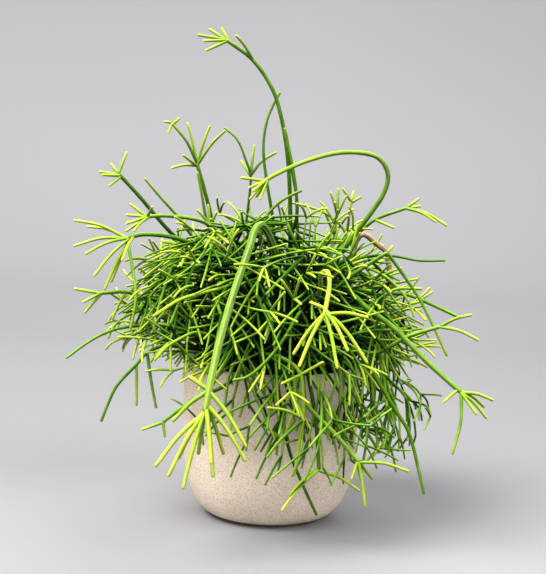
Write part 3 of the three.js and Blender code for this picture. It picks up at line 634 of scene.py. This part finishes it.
spacing = {"gap": 0.25, "bead": 2.5, "joint": 7.0, "pot": 1.0, "potGirth": 1.3, "reach": 9.0}

# Beads along every stem: place, radius, and the joints that their stem starts and ends at
beads = {"place": np.zeros((0, 3)), "radius": np.zeros(0), "start": np.zeros(0, int), "end": np.zeros(0, int)}
jointNumbers = itertools.count(1)
halfWall = pot["wall"] / 2
rimMiddle = [pot["rimRadius"] - halfWall, pot["height"] - halfWall]
wallMiddle = np.vstack([potOutline(halfWall, halfWall, soil["underRows"]), [rimMiddle]])


def beadRow(points, girths):
    steps = np.linalg.norm(points[1:] - points[:-1], axis=1)
    counts = np.ceil(steps / spacing["bead"]).astype(int)
    index = np.repeat(np.arange(len(counts)), counts)
    part = np.concatenate([np.arange(c) / c for c in counts])[:, None]
    place = np.vstack([points[index] + (points[index + 1] - points[index]) * part, points[-1:]])
    girth = np.append(girths[index] + (girths[index + 1] - girths[index]) * part[:, 0], girths[-1])
    return place, girth / 2


def settle(piece, parent=None):
    # the stem takes its place: its beads are in the way of later ones, save those that start at its joint
    piece["joint"] = next(jointNumbers)
    place, radius = beadRow(piece["points"], piece["girths"])
    beads["place"] = np.vstack([beads["place"], place])
    beads["radius"] = np.append(beads["radius"], radius)
    for label, joint in (("start", parent["joint"] if parent else 0), ("end", piece["joint"])):
        beads[label] = np.append(beads[label], np.full(len(radius), joint))
    if parent:
        parent["branches"].append(piece)
    return piece


def clearsPot(place, radius):
    # far enough from the line through the middle of the wall, and over the soil where it is inside
    across, height = np.hypot(place[:, 0], place[:, 1]), place[:, 2]
    start, step = wallMiddle[:-1], wallMiddle[1:] - wallMiddle[:-1]
    here = np.stack([across, height], 1)[:, None]
    t = np.clip(((here - start) * step).sum(-1) / (step * step).sum(-1), 0, 1)
    wall = np.linalg.norm(here - start - t[..., None] * step, axis=-1).min(1)
    overSoil = (across > pot["rimRadius"]) | (height > soil["top"] + soil["crown"] + radius + spacing["pot"])
    return overSoil & (wall > halfWall + radius * spacing["potGirth"] + spacing["pot"])


def clearRows(rows, joint, reach, gap, skip):
    # for each row of places and radii: nothing of it comes nearer than the gap to a stem already there
    start = rows[0][0][0]
    near = np.linalg.norm(beads["place"] - start, axis=1) < reach
    other, thick = beads["place"][near], beads["radius"][near]
    joined = (beads["start"][near] == joint) | (beads["end"][near] == joint)
    free = joined & (np.linalg.norm(other - start, axis=1) < spacing["joint"])
    other, thick = other[~free], thick[~free]
    squares = (other ** 2).sum(1)
    clear = []
    for place, radius in rows:
        place, radius = place[skip:], radius[skip:]
        apart = (radius[:, None] + thick) * stem["cornerReach"][3] + gap
        away = (place ** 2).sum(1)[:, None] + squares - 2 * place @ other.T
        wide = (away > apart ** 2 + spacing["bead"] ** 2 / 2).all()
        clear.append(clearsPot(place, radius).all() and wide)
    return clear


def roomAt(point):
    return np.sqrt(((beads["place"] - point) ** 2).sum(1).min())


def keepRoomiest(lines, girth, joint, allowed=None, gap=spacing["gap"], skip=2):
    # of the lines that stay clear, the one that ends farthest from every stem
    lines = [line for i, line in enumerate(lines) if allowed is None or allowed[i]]
    if not lines:
        return None
    rows = [beadRow(line, evenGirths(girth, line)) for line in lines]
    reach = max(np.linalg.norm(line - line[0], axis=1).max() for line in lines) + spacing["reach"]
    clear = clearRows(rows, joint, reach, gap, skip)
    rooms = [roomAt(line[-1]) if good else 0.0 for line, good in zip(lines, clear)]
    best = int(np.argmax(rooms))
    return lines[best] if rooms[best] > 0 else None


def crownRatio(place):
    # how far out in the crown: 0 at its middle, 1 at its outside, which draws in toward the bottom
    reach = np.hypot(place[..., 0] - clump["crownShift"], place[..., 1])
    leftward = np.maximum(-place[..., 0] / (reach + 1), 0)
    below = np.maximum(clump["crownMiddle"] - place[..., 2], 0)
    width = clump["crownWidth"] - (clump["taper"] + clump["leftTaper"] * leftward) * below
    rising = np.maximum(place[..., 2] - clump["crownMiddle"], 0) / clump["crownRise"]
    return np.sqrt((reach / width) ** 2 + rising ** 2)


def lowestAt(place):
    x, y = place[..., 0], place[..., 1]
    reach = np.hypot(x, y) + 1
    lift = clump["leftLift"] * np.maximum(-x / reach, 0)
    trail = clump["frontTrail"] * np.maximum((x - y) / reach - clump["frontFrom"], 0)
    return clump["lowestTip"] + lift - trail


def aimsAround(along, side, across, turn, lean, fall):
    # cos lean * along + sin lean * (cos turn * side + sin turn * across), and a pull straight down
    aims = np.outer(np.cos(lean), along) + np.outer(np.sin(lean) * np.cos(turn), side)
    aims = aims + np.outer(np.sin(lean) * np.sin(turn), across)
    return aims, np.stack([0 * fall, 0 * fall, -fall], 1)


def growLines(start, aims, pulls, lengths, spans, outPull=clump["outPull"], turnBack=clump["turnBack"]):
    # every try at once: each span bends toward its pull, and turns back at the crown's outside
    points, heading = [np.repeat(np.asarray(start, float)[None], len(aims), 0)], aims.copy()
    for i in range(spans):
        here = points[-1]
        outward = here.copy()
        outward[:, 2] = np.maximum(here[:, 2] - clump["crownMiddle"], 0)
        outward = unit(outward)
        heading = heading + pulls + outPull * outward
        over = np.maximum(crownRatio(here) - turnBack[0], 0) * turnBack[1]
        heading = unit(heading - outward * (over * np.maximum((heading * outward).sum(1), 0))[:, None])
        points.append(here + heading * (lengths / spans)[:, None])
    return np.stack(points, 1)


def growLeader(root, spreads):
    x, y = root
    outness = np.hypot(x, y) / clump["rootReach"]
    lean, length = (clump[("spread" if spreads else "upright") + word] for word in ("Lean", "Length"))
    bearings, leans, lengths = drawRows(clump["tries"], clump["leaderTurn"], lean, length)
    bearings = np.arctan2(y, x) + bearings
    if not spreads:
        leans, lengths = clump["leastLean"] + outness * leans, lengths - clump["shorterOut"] * outness
    pulls = np.stack([leans * np.cos(bearings), leans * np.sin(bearings), np.zeros(len(leans))], 1)
    foot = np.array([x, y, soil["top"] + stem["overSoil"]])
    aims = np.repeat([[0.0, 0.0, 1.0]], len(leans), 0)
    kept = keepRoomiest(growLines(foot, aims, pulls, lengths, clump["spans"][0]), clump["girth"][0], -1)
    if kept is None:
        return None
    buried = np.array([x, y, soil["top"] - soil["stemDepth"]])
    return settle(strand(np.vstack([buried, kept]), clump["girth"][0], 4, (1, 0, 0), "leader"))


def growBranch(parent, face, order):
    # out of one corner of its parent's end
    ranges = clump["turn"], clump["spread"], clump["drop"], clump["longer"]
    turn, spread, drop, longer = drawRows(clump["tries"], *ranges)
    turn = turn + (face + 0.5) / parent["sides"] * fullTurn
    aims, pulls = aimsAround(*(axis[-1] for axis in parent["frames"]), turn, spread, drop)
    start, girth = parent["points"][-1], clump["girth"][order]
    lines = growLines(start, aims, pulls, clump["length"][order] * longer, clump["spans"][order])
    last = lines[:, -1]
    inside = (last[:, 2] > lowestAt(last)) & (crownRatio(last) < clump["crownEdge"])
    kept = keepRoomiest(lines, girth, parent["joint"], inside)
    if kept is None:
        return None
    return settle(strand(kept, girth, 3, endCorners(parent)[face] - start, "branch"), parent)


def clumpRoots():
    # places spread evenly over the soil, between the long shoots
    roots, taken = [], [shoot["root"] for shoot in shoots]
    turnStep, reachStep = clump["rootSteps"]
    for i in range(clump["rootTries"]):
        turn = fullTurn * (i * turnStep % 1)
        reach = clump["rootReach"] * np.sqrt((0.5 + i * reachStep) % 1)
        root = [reach * np.cos(turn), reach * np.sin(turn)]
        if all(np.hypot(x - root[0], y - root[1]) > clump["rootSpacing"] for x, y in taken):
            roots.append(root)
            taken.append(root)
        if len(roots) == clump["count"]:
            break
    return roots


def growClumps():
    clumps = []
    for root in clumpRoots():
        spreads = np.hypot(*root) > clump["rootReach"] * clump["spreadFrom"][len(clumps) % 2]
        leader = growLeader(root, spreads)
        if leader is not None:
            clumps.append([leader])
    parents = [(leaders[0], leaders) for leaders in clumps]
    for order in range(1, len(clump["length"])):
        grown = []
        for parent, system in parents:
            if draw(0, 1) > clump["chance"][order]:
                continue
            for face in range(parent["sides"]):
                branch = growBranch(parent, face, order)
                if branch is not None:
                    system.append(branch)
                    grown.append((branch, system))
        parents = grown
    return clumps


# More stems, where the solids leave the crown thinner than it grows: two passes of finer branches,
# young tips in whorls at the outside, and stems that hang over the rim
finer = {"girth": (1.9, 1.3), "spread": (0.3, 0.95), "drop": (-0.08, 0.14), "outPull": 0.07}
extra = {"seed": 11, "gap": 0.0, "spans": 4, "turnBack": (1.04, 2.0), "crownEdge": 1.14, "pastBack": 7.0,
         "passes": ({**finer, "leader": 3.4, "branch": 1.6, "end": 2.6, "length": (36, 86), "tries": 26,
                     "youth": (0.2, 0.68)},
                    {**finer, "leader": 4.5, "branch": 1.2, "end": 0.9, "length": (18, 48), "tries": 12,
                     "youth": (0.14, 0.5)})}
whorl = {"from": 0.8, "chance": 0.22, "count": (1.6, 4.2), "lowest": 40.0, "girth": (1.7, 1.3), "tries": 10,
         "spread": (0.35, 0.95), "drop": (0, 0.1), "length": (8, 22), "outPull": 0.07}
hanging = {"count": 46, "forward": 0.82, "frontBearings": (-104, 14), "backBearings": (14, 150),
           "frontMiddle": -50, "frontReach": 1.35, "low": 92, "frontDrop": 54, "dropPart": (0.2, 1.0),
           "routes": 12, "turn": (-0.3, 0.3), "root": (40, 55), "over": (120, 136), "out": (71, 86),
           "sway": (-0.26, 0.26), "first": (6, 34), "further": (0, 6), "overSoil": 2, "rootStep": 4,
           "riseStep": 3, "dip": 8, "swayParts": (0, 0, 0.3, 0.8, 1.3), "span": 12, "crowded": 14,
           "girths": ((2.1, 1.8), (1.9, 1.7), (1.7, 1.5), (1.6, 1.3)), "forks": (1.7, 3.5), "tries": 10,
           "spread": (0.25, 0.95), "drop": (0.0, 0.17), "length": (14, 34), "outPull": 0.0}
oddWay, otherWay = (0.31, 0.83, 0.46), (0.3, 0.2, 0.9)  # directions that hardly any stem has


def growExtra(parent, at, habit, kind, inside):
    # the roomiest of a few tries from one point of a stem, if any of them stays clear and ends inside
    start, along = parent["points"][at], parent["frames"][0][at]
    side = unit(np.cross(along, oddWay))
    ranges = (0, 1), habit["spread"], habit["drop"], habit["length"]
    turn, lean, fall, lengths = drawRows(habit["tries"], *ranges)
    aims, pulls = aimsAround(along, side, np.cross(along, side), turn * fullTurn, lean, fall)
    lines = growLines(start, aims, pulls, lengths, extra["spans"], habit["outPull"], extra["turnBack"])
    ends = lines[:, -1]
    allowed = inside(ends) & (ends[:, 1] < cadBox[1][1] / mm + extra["pastBack"])
    kept = keepRoomiest(lines, habit["girth"], parent["joint"], allowed, extra["gap"])
    if kept is None:
        return []
    firstSide = np.cross(kept[1] - kept[0], otherWay)
    return [settle(strand(kept, habit["girth"], 3, firstSide, kind, habit.get("youth")), parent)]


def inCrown(last):
    return (last[:, 2] > lowestAt(last)) & (crownRatio(last) < extra["crownEdge"])


def growFine(system, habit):
    grown = []
    for parent in [piece for piece in system if piece["kind"] in ("leader", "branch")]:
        last = len(parent["points"]) - 1
        for at in range(1, last + 1):
            for i in range(int(habit["end" if at == last else parent["kind"]] + draw(0, 1))):
                grown += growExtra(parent, at, habit, "fine", inCrown)
    return grown


def growWhorls(system):
    # young tips at the ends that reach the outside of the crown
    grown = []
    bare = [piece for piece in system if piece["kind"] in ("branch", "fine") and not piece["branches"]]
    for parent in bare:
        if crownRatio(parent["points"][-1]) < whorl["from"] or draw(0, 1) > whorl["chance"]:
            continue
        for i in range(int(draw(*whorl["count"]))):
            grown += growExtra(parent, -1, whorl, "tip", lambda ends: ends[:, 2] > whorl["lowest"])
    return grown


def growHanging():
    # out of the soil near the wall and over the rim, and from there on in forks that bend down
    forward = draw(0, 1) < hanging["forward"]
    bearing = np.radians(draw(*hanging["frontBearings" if forward else "backBearings"]))
    toFront = np.cos(bearing - np.radians(hanging["frontMiddle"]))
    toFront = np.clip(hanging["frontReach"] * toFront, 0, 1)
    lowest = hanging["low"] - hanging["frontDrop"] * toFront * draw(*hanging["dropPart"])
    ranges = (hanging[word] for word in ("turn", "root", "over", "out", "sway", "first", "further"))
    lines = []
    for turn, root, over, out, sway, first, further in drawRows(hanging["routes"], *ranges).T:
        reach = np.array([root, root + hanging["rootStep"], (root + out) / 2, out, out + further])
        angle = bearing + turn + sway * np.array(hanging["swayParts"])
        low, dipped = soil["top"] + hanging["overSoil"], over - hanging["dip"]
        height = [low, (soil["top"] + over) / 2 + hanging["riseStep"], over, dipped, dipped - first]
        route = np.stack([reach * np.cos(angle), reach * np.sin(angle), height], 1)
        lines.append(smoothRoute(route, hanging["span"]))
    girths = hanging["girths"]
    kept = keepRoomiest(lines, girths[0], -1, None, extra["gap"], hanging["crowded"])
    if kept is None:
        return []
    system = parents = [settle(strand(kept, girths[0], 3, (1, 0, 0), "hanging"))]
    for girth in girths[1:]:
        habit, kind, young = {**hanging, "girth": girth}, "fine" if girth is girths[-1] else "hanging", []
        for parent in parents:
            for i in range(int(draw(*hanging["forks"]))):
                young += growExtra(parent, -1, habit, kind, lambda ends: ends[:, 2] > lowest)
        system, parents = system + young, young
    return system


# How a stem's surface runs along its line, in millimetres and in parts of its girth
surface = {"pathStep": 1.6, "step": 3.2, "firstRings": (0.0, 0.9), "bodyFrom": 1.9, "fuller": 1.04,
           "neck": 0.24, "neckLength": 1.6, "knob": 0.1, "knobLength": 2.0, "uneven": 0.035,
           "waves": (0.55, 0.21), "waveTurn": 2.1, "toneStep": 12.9898, "fullTip": 1.08, "bluntTip": 0.8,
           "capLength": 0.55, "capRings": (0.5, 0.8, 0.96), "thickFrom": 3.3, "thinSides": 7,
           "thickSides": 12, "straight": 0.97, "youthBend": 1.4, "budPart": 0.3, "innerAgeAndShade": 0.5,
           "innerFrom": 0.92, "innerReach": 0.36, "leastPattern": 0.3, "patternStep": 37.0}
strandNumbers = itertools.count(1)


def stemSurface(piece):
    # centre(v) + radius(v) * (cos u * side + sin u * across): the side is the way the line strays least,
    # and the radius tapers, narrows at the neck, swells at a joint and closes as a quarter ellipse
    number, kind, forks = next(strandNumbers), piece["kind"], len(piece["branches"]) > 0
    start, end = piece["girths"][[0, -1]] * (surface["fullTip"] if kind == "tip" else 1.0)
    if kind == "tip":
        end = max(end, start * surface["bluntTip"])
    fine = smoothRoute(piece["points"], surface["pathStep"])
    run = np.append(0, np.cumsum(np.linalg.norm(np.diff(fine, axis=0), axis=1)))
    total, cap = run[-1], end * surface["capLength"]
    body = total - cap
    count = max(2, int(body / surface["step"]))
    v = np.concatenate([surface["firstRings"], np.linspace(surface["bodyFrom"], body, count),
                        body + cap * np.array(surface["capRings"])])
    centre = np.stack([np.interp(v, run, fine[:, k]) for k in range(3)], 1)
    along = unit(np.gradient(centre, v, axis=0))

    normal = np.cross(along[0], oddWay)
    if len(fine) > 3:
        flattest = np.linalg.svd(fine - fine.mean(0), full_matrices=False)[2][2]
        if abs(along @ flattest).max() <= surface["straight"]:
            normal = flattest
    side = unit(normal - along * (along @ normal)[:, None])
    across = np.cross(along, side)

    radius = (start + (end - start) * v / total) / 2 * surface["fuller"]
    if kind not in ("shoot", "leader"):
        radius = radius * (1 - surface["neck"] * np.exp(-(v / surface["neckLength"]) ** 2))
    if forks:
        radius = radius * (1 + surface["knob"] * np.exp(-((body - v) / surface["knobLength"]) ** 2))
    first, second = surface["waves"]
    uneven = np.sin(v * first + number) * np.sin(v * second + surface["waveTurn"] * number)
    radius = radius * (1 + surface["uneven"] * uneven)
    radius = radius * np.sqrt(1 - np.clip((v - body) / cap, 0, 1) ** 2)

    sides = surface["thickSides"] if start > surface["thickFrom"] else surface["thinSides"]
    u = roundTurn(sides)
    ring = np.cos(u)[None, :, None] * side[:, None] + np.sin(u)[None, :, None] * across[:, None]
    grid = centre[:, None] + radius[:, None, None] * ring
    places = np.vstack([grid.reshape(-1, 3), centre[:1], centre[-1:] + along[-1:] * (total - v[-1])])

    # growth holds how young (less where painted shade darkens the inside of the crown), which tone and how
    # much bud; pattern is the stem laid out straight along Z
    low, high = piece["youth"]
    youth = low + (high - low) * (v / total) ** surface["youthBend"]
    # painted shade: stems deep inside the crown are made darker, partly as older stems and partly as the
    # shade that falls inside it
    inner = np.clip((surface["innerFrom"] - crownRatio(centre)) / surface["innerReach"], 0, 1)
    youth = youth - surface["innerAgeAndShade"] * inner
    bud = (v > total - cap * surface["budPart"]) * (0.0 if forks else 1.0)
    tone = np.full(len(v), scattered(number * surface["toneStep"], 2) - 1)
    growth = np.stack([youth, tone, bud], 1)
    growth = np.vstack([np.repeat(growth, sides, 0), growth[[0, -1]]])
    thick = np.maximum(radius, end * surface["leastPattern"])[:, None]
    offset = number * surface["patternStep"]
    laid = np.repeat(v[:, None], sides, 1) + offset
    pattern = np.stack([thick * np.cos(u), thick * np.sin(u), laid], 2)
    pattern = np.vstack([pattern.reshape(-1, 3), [[0, 0, offset], [0, 0, total + offset]]])
    return places, *tubeFaces(len(v), sides), growth, pattern


def stemPiece(name, system, material, slotName):
    parts, offset = [], 0
    for piece in system:
        places, quads, triangles, growth, pattern = stemSurface(piece)
        parts.append((places, quads + offset, triangles + offset, growth, pattern))
        offset += len(places)
    places, quads, triangles, growth, pattern = (np.vstack(part) for part in zip(*parts))
    vectors = {"growth": growth, "pattern": pattern}
    return meshPiece(name, places, quads, triangles, material, slotName, vectors)


# Green by age from old to young, with streaks along the stem, pale ribs on stout ones, dots and buds, and
# painted light: upper sides lighter and yellower, undersides darker
greens = {"ages": ((0.0, (0.002, 0.015, 0.000)), (0.13, (0.010, 0.052, 0.001)), (0.3, (0.056, 0.168, 0.003)),
                   (0.5, (0.185, 0.365, 0.018)), (0.75, (0.365, 0.535, 0.026)), (1.0, (0.570, 0.665, 0.062))),
          "bud": (0.66, 0.56, 0.18), "pale": (0.52, 0.60, 0.30), "dot": (0.42, 0.50, 0.14),
          "toneReach": 0.10, "blotch": (0.16, 2.0), "blotchPart": 0.22, "paintedTopYouth": 0.16,
          "paintedLightFacing": (-0.6, 0.85), "under": 0.32, "upper": 1.05, "streaks": (2.2, 2.2, 0.10),
          "streakFrom": (0.35, 0.68), "streakLight": (0.76, 1.384), "ribs": 6.0, "ribTurn": 0.8,
          "ribFrom": (-0.2, 0.9), "ribPale": 0.55, "ribYouth": (0.22, 0.48), "ribRadius": (1.2, 2.3),
          "thinRibs": 0.12, "dots": (0.55, 0.55, 0.16), "dotEdge": (0.13, 0.07), "dotPale": 0.55,
          "budPart": 0.8, "roughness": 0.34, "gloss": 0.06, "relief": (0.25, 0.0002)}
bark = {"light": (0.50, 0.320, 0.195), "dark": (0.19, 0.085, 0.052), "fibres": (1.6, 1.6, 0.22),
        "shades": (0.32, 0.66), "paintedLightFacing": (-0.4, 0.8), "paintedTopLight": (0.6, 1.85), "roughness": 0.7,
        "gloss": 0.5, "relief": (0.6, 0.0005)}


def stemMaterial():
    material = newMaterial("greenStem")
    youth, tone, bud = axesOf(material, attribute(material, "growth"))
    place = attribute(material, "pattern")
    # painted light: by how far the surface faces up, the colour is made yellower and brighter on top and
    # darker underneath, with under and upper setting the painted shade and light
    upper = ranged(material, facingUp(material), greens["paintedLightFacing"])
    blotch = noise(material, place, *greens["blotch"])
    age = maths(material, "MULTIPLY_ADD", tone, greens["toneReach"], youth)
    age = maths(material, "MULTIPLY_ADD", blotch, greens["blotchPart"], age)
    age = maths(material, "SUBTRACT", age, (greens["blotchPart"] + greens["paintedTopYouth"]) / 2)
    age = maths(material, "MULTIPLY_ADD", upper, greens["paintedTopYouth"], age)
    streak = noise(material, stretched(material, place, greens["streaks"]), scale=1.0, detail=3.0)
    light = ranged(material, streak, greens["streakFrom"], greens["streakLight"])
    paintedLight = maths(material, "MULTIPLY_ADD", upper, greens["upper"], greens["under"])
    colour = scaled(material, rampOf(material, age, greens["ages"]), maths(material, "MULTIPLY", light, paintedLight))

    # ribs by the angle round the stem, only where it is young and stout enough
    around = axesOf(material, place)
    turn = maths(material, "ARCTAN2", around["Y"], around["X"])
    turn = maths(material, "MULTIPLY_ADD", turn, greens["ribs"], greens["ribTurn"])
    ribs = ranged(material, maths(material, "SINE", turn), greens["ribFrom"], (0.0, greens["ribPale"]))
    flat = addNode(material, "VectorMath", {0: place, 1: (1.0, 1.0, 0.0)}, operation="MULTIPLY").outputs[0]
    radius = addNode(material, "VectorMath", {0: flat}, operation="LENGTH").outputs["Value"]
    for limit in (ranged(material, youth, greens["ribYouth"]),
                  ranged(material, radius, greens["ribRadius"], (greens["thinRibs"], 1.0))):
        ribs = maths(material, "MULTIPLY", ribs, limit)
    dot = cellsOf(material, stretched(material, place, greens["dots"]), scale=1.0)["Distance"]
    dot = ranged(material, dot, greens["dotEdge"], (0.0, greens["dotPale"]))
    bud = maths(material, "MULTIPLY", bud, greens["budPart"])
    for factor, tint in ((ribs, "pale"), (dot, "dot"), (bud, "bud")):
        colour = tinted(material, factor, colour, greens[tint])
    return finishMaterial(material, greens, colour, streak)


def barkMaterial():
    material = newMaterial("oldBark")
    fibres = stretched(material, attribute(material, "pattern"), bark["fibres"])
    fibre = noise(material, fibres, scale=1.0, detail=4.0)
    colour = rampOf(material, fibre, zip(bark["shades"], (bark["dark"], bark["light"])))
    # painted light: the bark's upper side is made lighter and its underside darker
    paintedLight = ranged(material, facingUp(material), bark["paintedLightFacing"], bark["paintedTopLight"])
    return finishMaterial(material, bark, scaled(material, colour, paintedLight), fibre)


# The floor bends up into a round wall; its greys go by depth, and painted shade makes it a little darker to
# the right
stage = {"floorRadius": 1500.0, "bend": 700.0, "height": 1500.0, "bendRows": 24, "sides": 96,
         "depth": (-300.0, 2200.0), "blue": 1.03,
         "greys": ((-120.0, 0.325), (120.0, 0.270), (900.0, 0.258), (2000.0, 0.335)),
         "paintedSideShade": (50.0, 650.0, 0.885), "roughness": 0.9, "gloss": 0.1, "world": 0.2,
         "worldColour": (0.96, 0.98, 1.0, 1)}
lights = {"key": {"place": (-1.35, -0.95, 2.7), "size": 1.9, "power": 185.0, "colour": (1.0, 0.985, 0.96)},
          "fill": {"place": (1.5, -1.2, 1.3), "size": 1.8, "power": 41.0, "colour": (0.96, 0.98, 1.0)},
          "back": {"place": (0.55, 1.2, 1.8), "size": 1.4, "power": 34.0, "colour": (1.0, 1.0, 1.0)}}
view = {"place": (-0.0015, -1.0, 0.275), "pitch": 6.1, "roll": 1.95, "lens": 86.24,
        "lightAim": (0, 0, 0.15)}


def paperMaterial():
    material = newMaterial("paper")
    place = axesOf(material, addNode(material, "TexCoord").outputs["Object"])
    low, high = stage["depth"]
    away = ranged(material, place["Y"], (low * mm, high * mm))
    stops = [((y - low) / (high - low), (grey, grey, grey * stage["blue"])) for y, grey in stage["greys"]]
    # painted shade: the backdrop is darkened toward the right, away from the key light
    near, far, darker = stage["paintedSideShade"]
    sideShade = ranged(material, place["X"], (near * mm, far * mm), (1.0, darker))
    return finishMaterial(material, stage, scaled(material, rampOf(material, away, stops), sideShade))


def makeStage():
    # rings from half the floor to the top of the wall, open above, with a fan of triangles in the middle
    turn = np.linspace(0, np.pi / 2, stage["bendRows"])
    bend = stage["bend"] * np.stack([np.sin(turn), 1 - np.cos(turn)], 1) + (stage["floorRadius"], 0)
    rings = np.vstack([[(stage["floorRadius"] / 2, 0)], bend, [(bend[-1, 0], stage["height"])]])
    places = np.vstack([turned(rings, stage["sides"]), [[0, 0, 0]]])
    quads, triangles = tubeFaces(len(rings), stage["sides"])
    inward, middle = quads[:, ::-1], triangles[:stage["sides"], ::-1]
    meshPiece("backdrop", places, inward, middle, paperMaterial(), None)


def makeLights():
    for name, light in lights.items():
        lamp = bpy.data.lights.new(name, "AREA")
        lamp.size, lamp.energy, lamp.color = light["size"], light["power"], light["colour"]
        holder = bpy.data.objects.new(name, lamp)
        bpy.context.scene.collection.objects.link(holder)
        holder.location = light["place"]
        aim = Vector(np.subtract(view["lightAim"], light["place"]))
        holder.rotation_euler = aim.to_track_quat("-Z", "Y").to_euler()
    world = bpy.data.worlds.new("studio")
    world.use_nodes = True
    background = world.node_tree.nodes["Background"]
    background.inputs["Color"].default_value = stage["worldColour"]
    background.inputs["Strength"].default_value = stage["world"]
    bpy.context.scene.world = world
    bpy.context.scene.view_settings.view_transform = "Standard"


def makeCamera():
    camera = bpy.data.objects.new("camera", bpy.data.cameras.new("camera"))
    bpy.context.scene.collection.objects.link(camera)
    camera.data.lens = view["lens"]
    pitch = Matrix.Rotation(np.radians(90 - view["pitch"]), 4, "X")
    roll = Matrix.Rotation(np.radians(view["roll"]), 4, "Z")
    camera.matrix_world = Matrix.Translation(view["place"]) @ pitch @ roll
    bpy.context.scene.camera = camera


makeStage()
makeLights()
makeCamera()
print("stage, lights and camera made")

stemGreen, oldBark = stemMaterial(), barkMaterial()
potPiece()
soilPiece()
startDraws(litter["seed"])
litterPiece("crumb")
litterPiece("chip")
print("pot and soil made")

startDraws(clump["seed"])
systems = {"shoot_" + shoot["name"]: shootStrands(shoot) for shoot in shoots}
for i, system in enumerate(growClumps()):
    systems[f"clump_{i + 1:02d}"] = system
print("stems grown:", sum(len(system) for system in systems.values()))

startDraws(extra["seed"])
sprigSystems = {sprig["name"]: shootStrands(sprig) for sprig in sprigs}
hangingSystems = [system for system in (growHanging() for i in range(hanging["count"])) if system]
print("hanging stems:", sum(len(system) for system in hangingSystems), "in", len(hangingSystems))

clumpNames = [name for name in systems if name.startswith("clump")]
for habit in extra["passes"]:
    for name in clumpNames:
        systems[name] += growFine(systems[name], habit)
for name in clumpNames:
    systems[name] += growWhorls(systems[name])
print("with finer branches:", sum(len(system) for system in systems.values()), "beads", len(beads["radius"]))

for name, system in systems.items():
    woody = name == "shoot_woody"
    piece = stemPiece(name.replace("shoot_", "stems_").replace("clump_", "stems_clump_"), system,
                      oldBark if woody else stemGreen, "bark" if woody else "stem")
    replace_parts(piece, name)
for name, system in sprigSystems.items():
    stemPiece("stems_" + name, system, stemGreen, "stem")
for i, system in enumerate(hangingSystems):
    stemPiece(f"stems_hanging_{i + 1:02d}", system, stemGreen, "stem")
print("pieces made:", len(systems) + len(sprigSystems) + len(hangingSystems), "of stems")
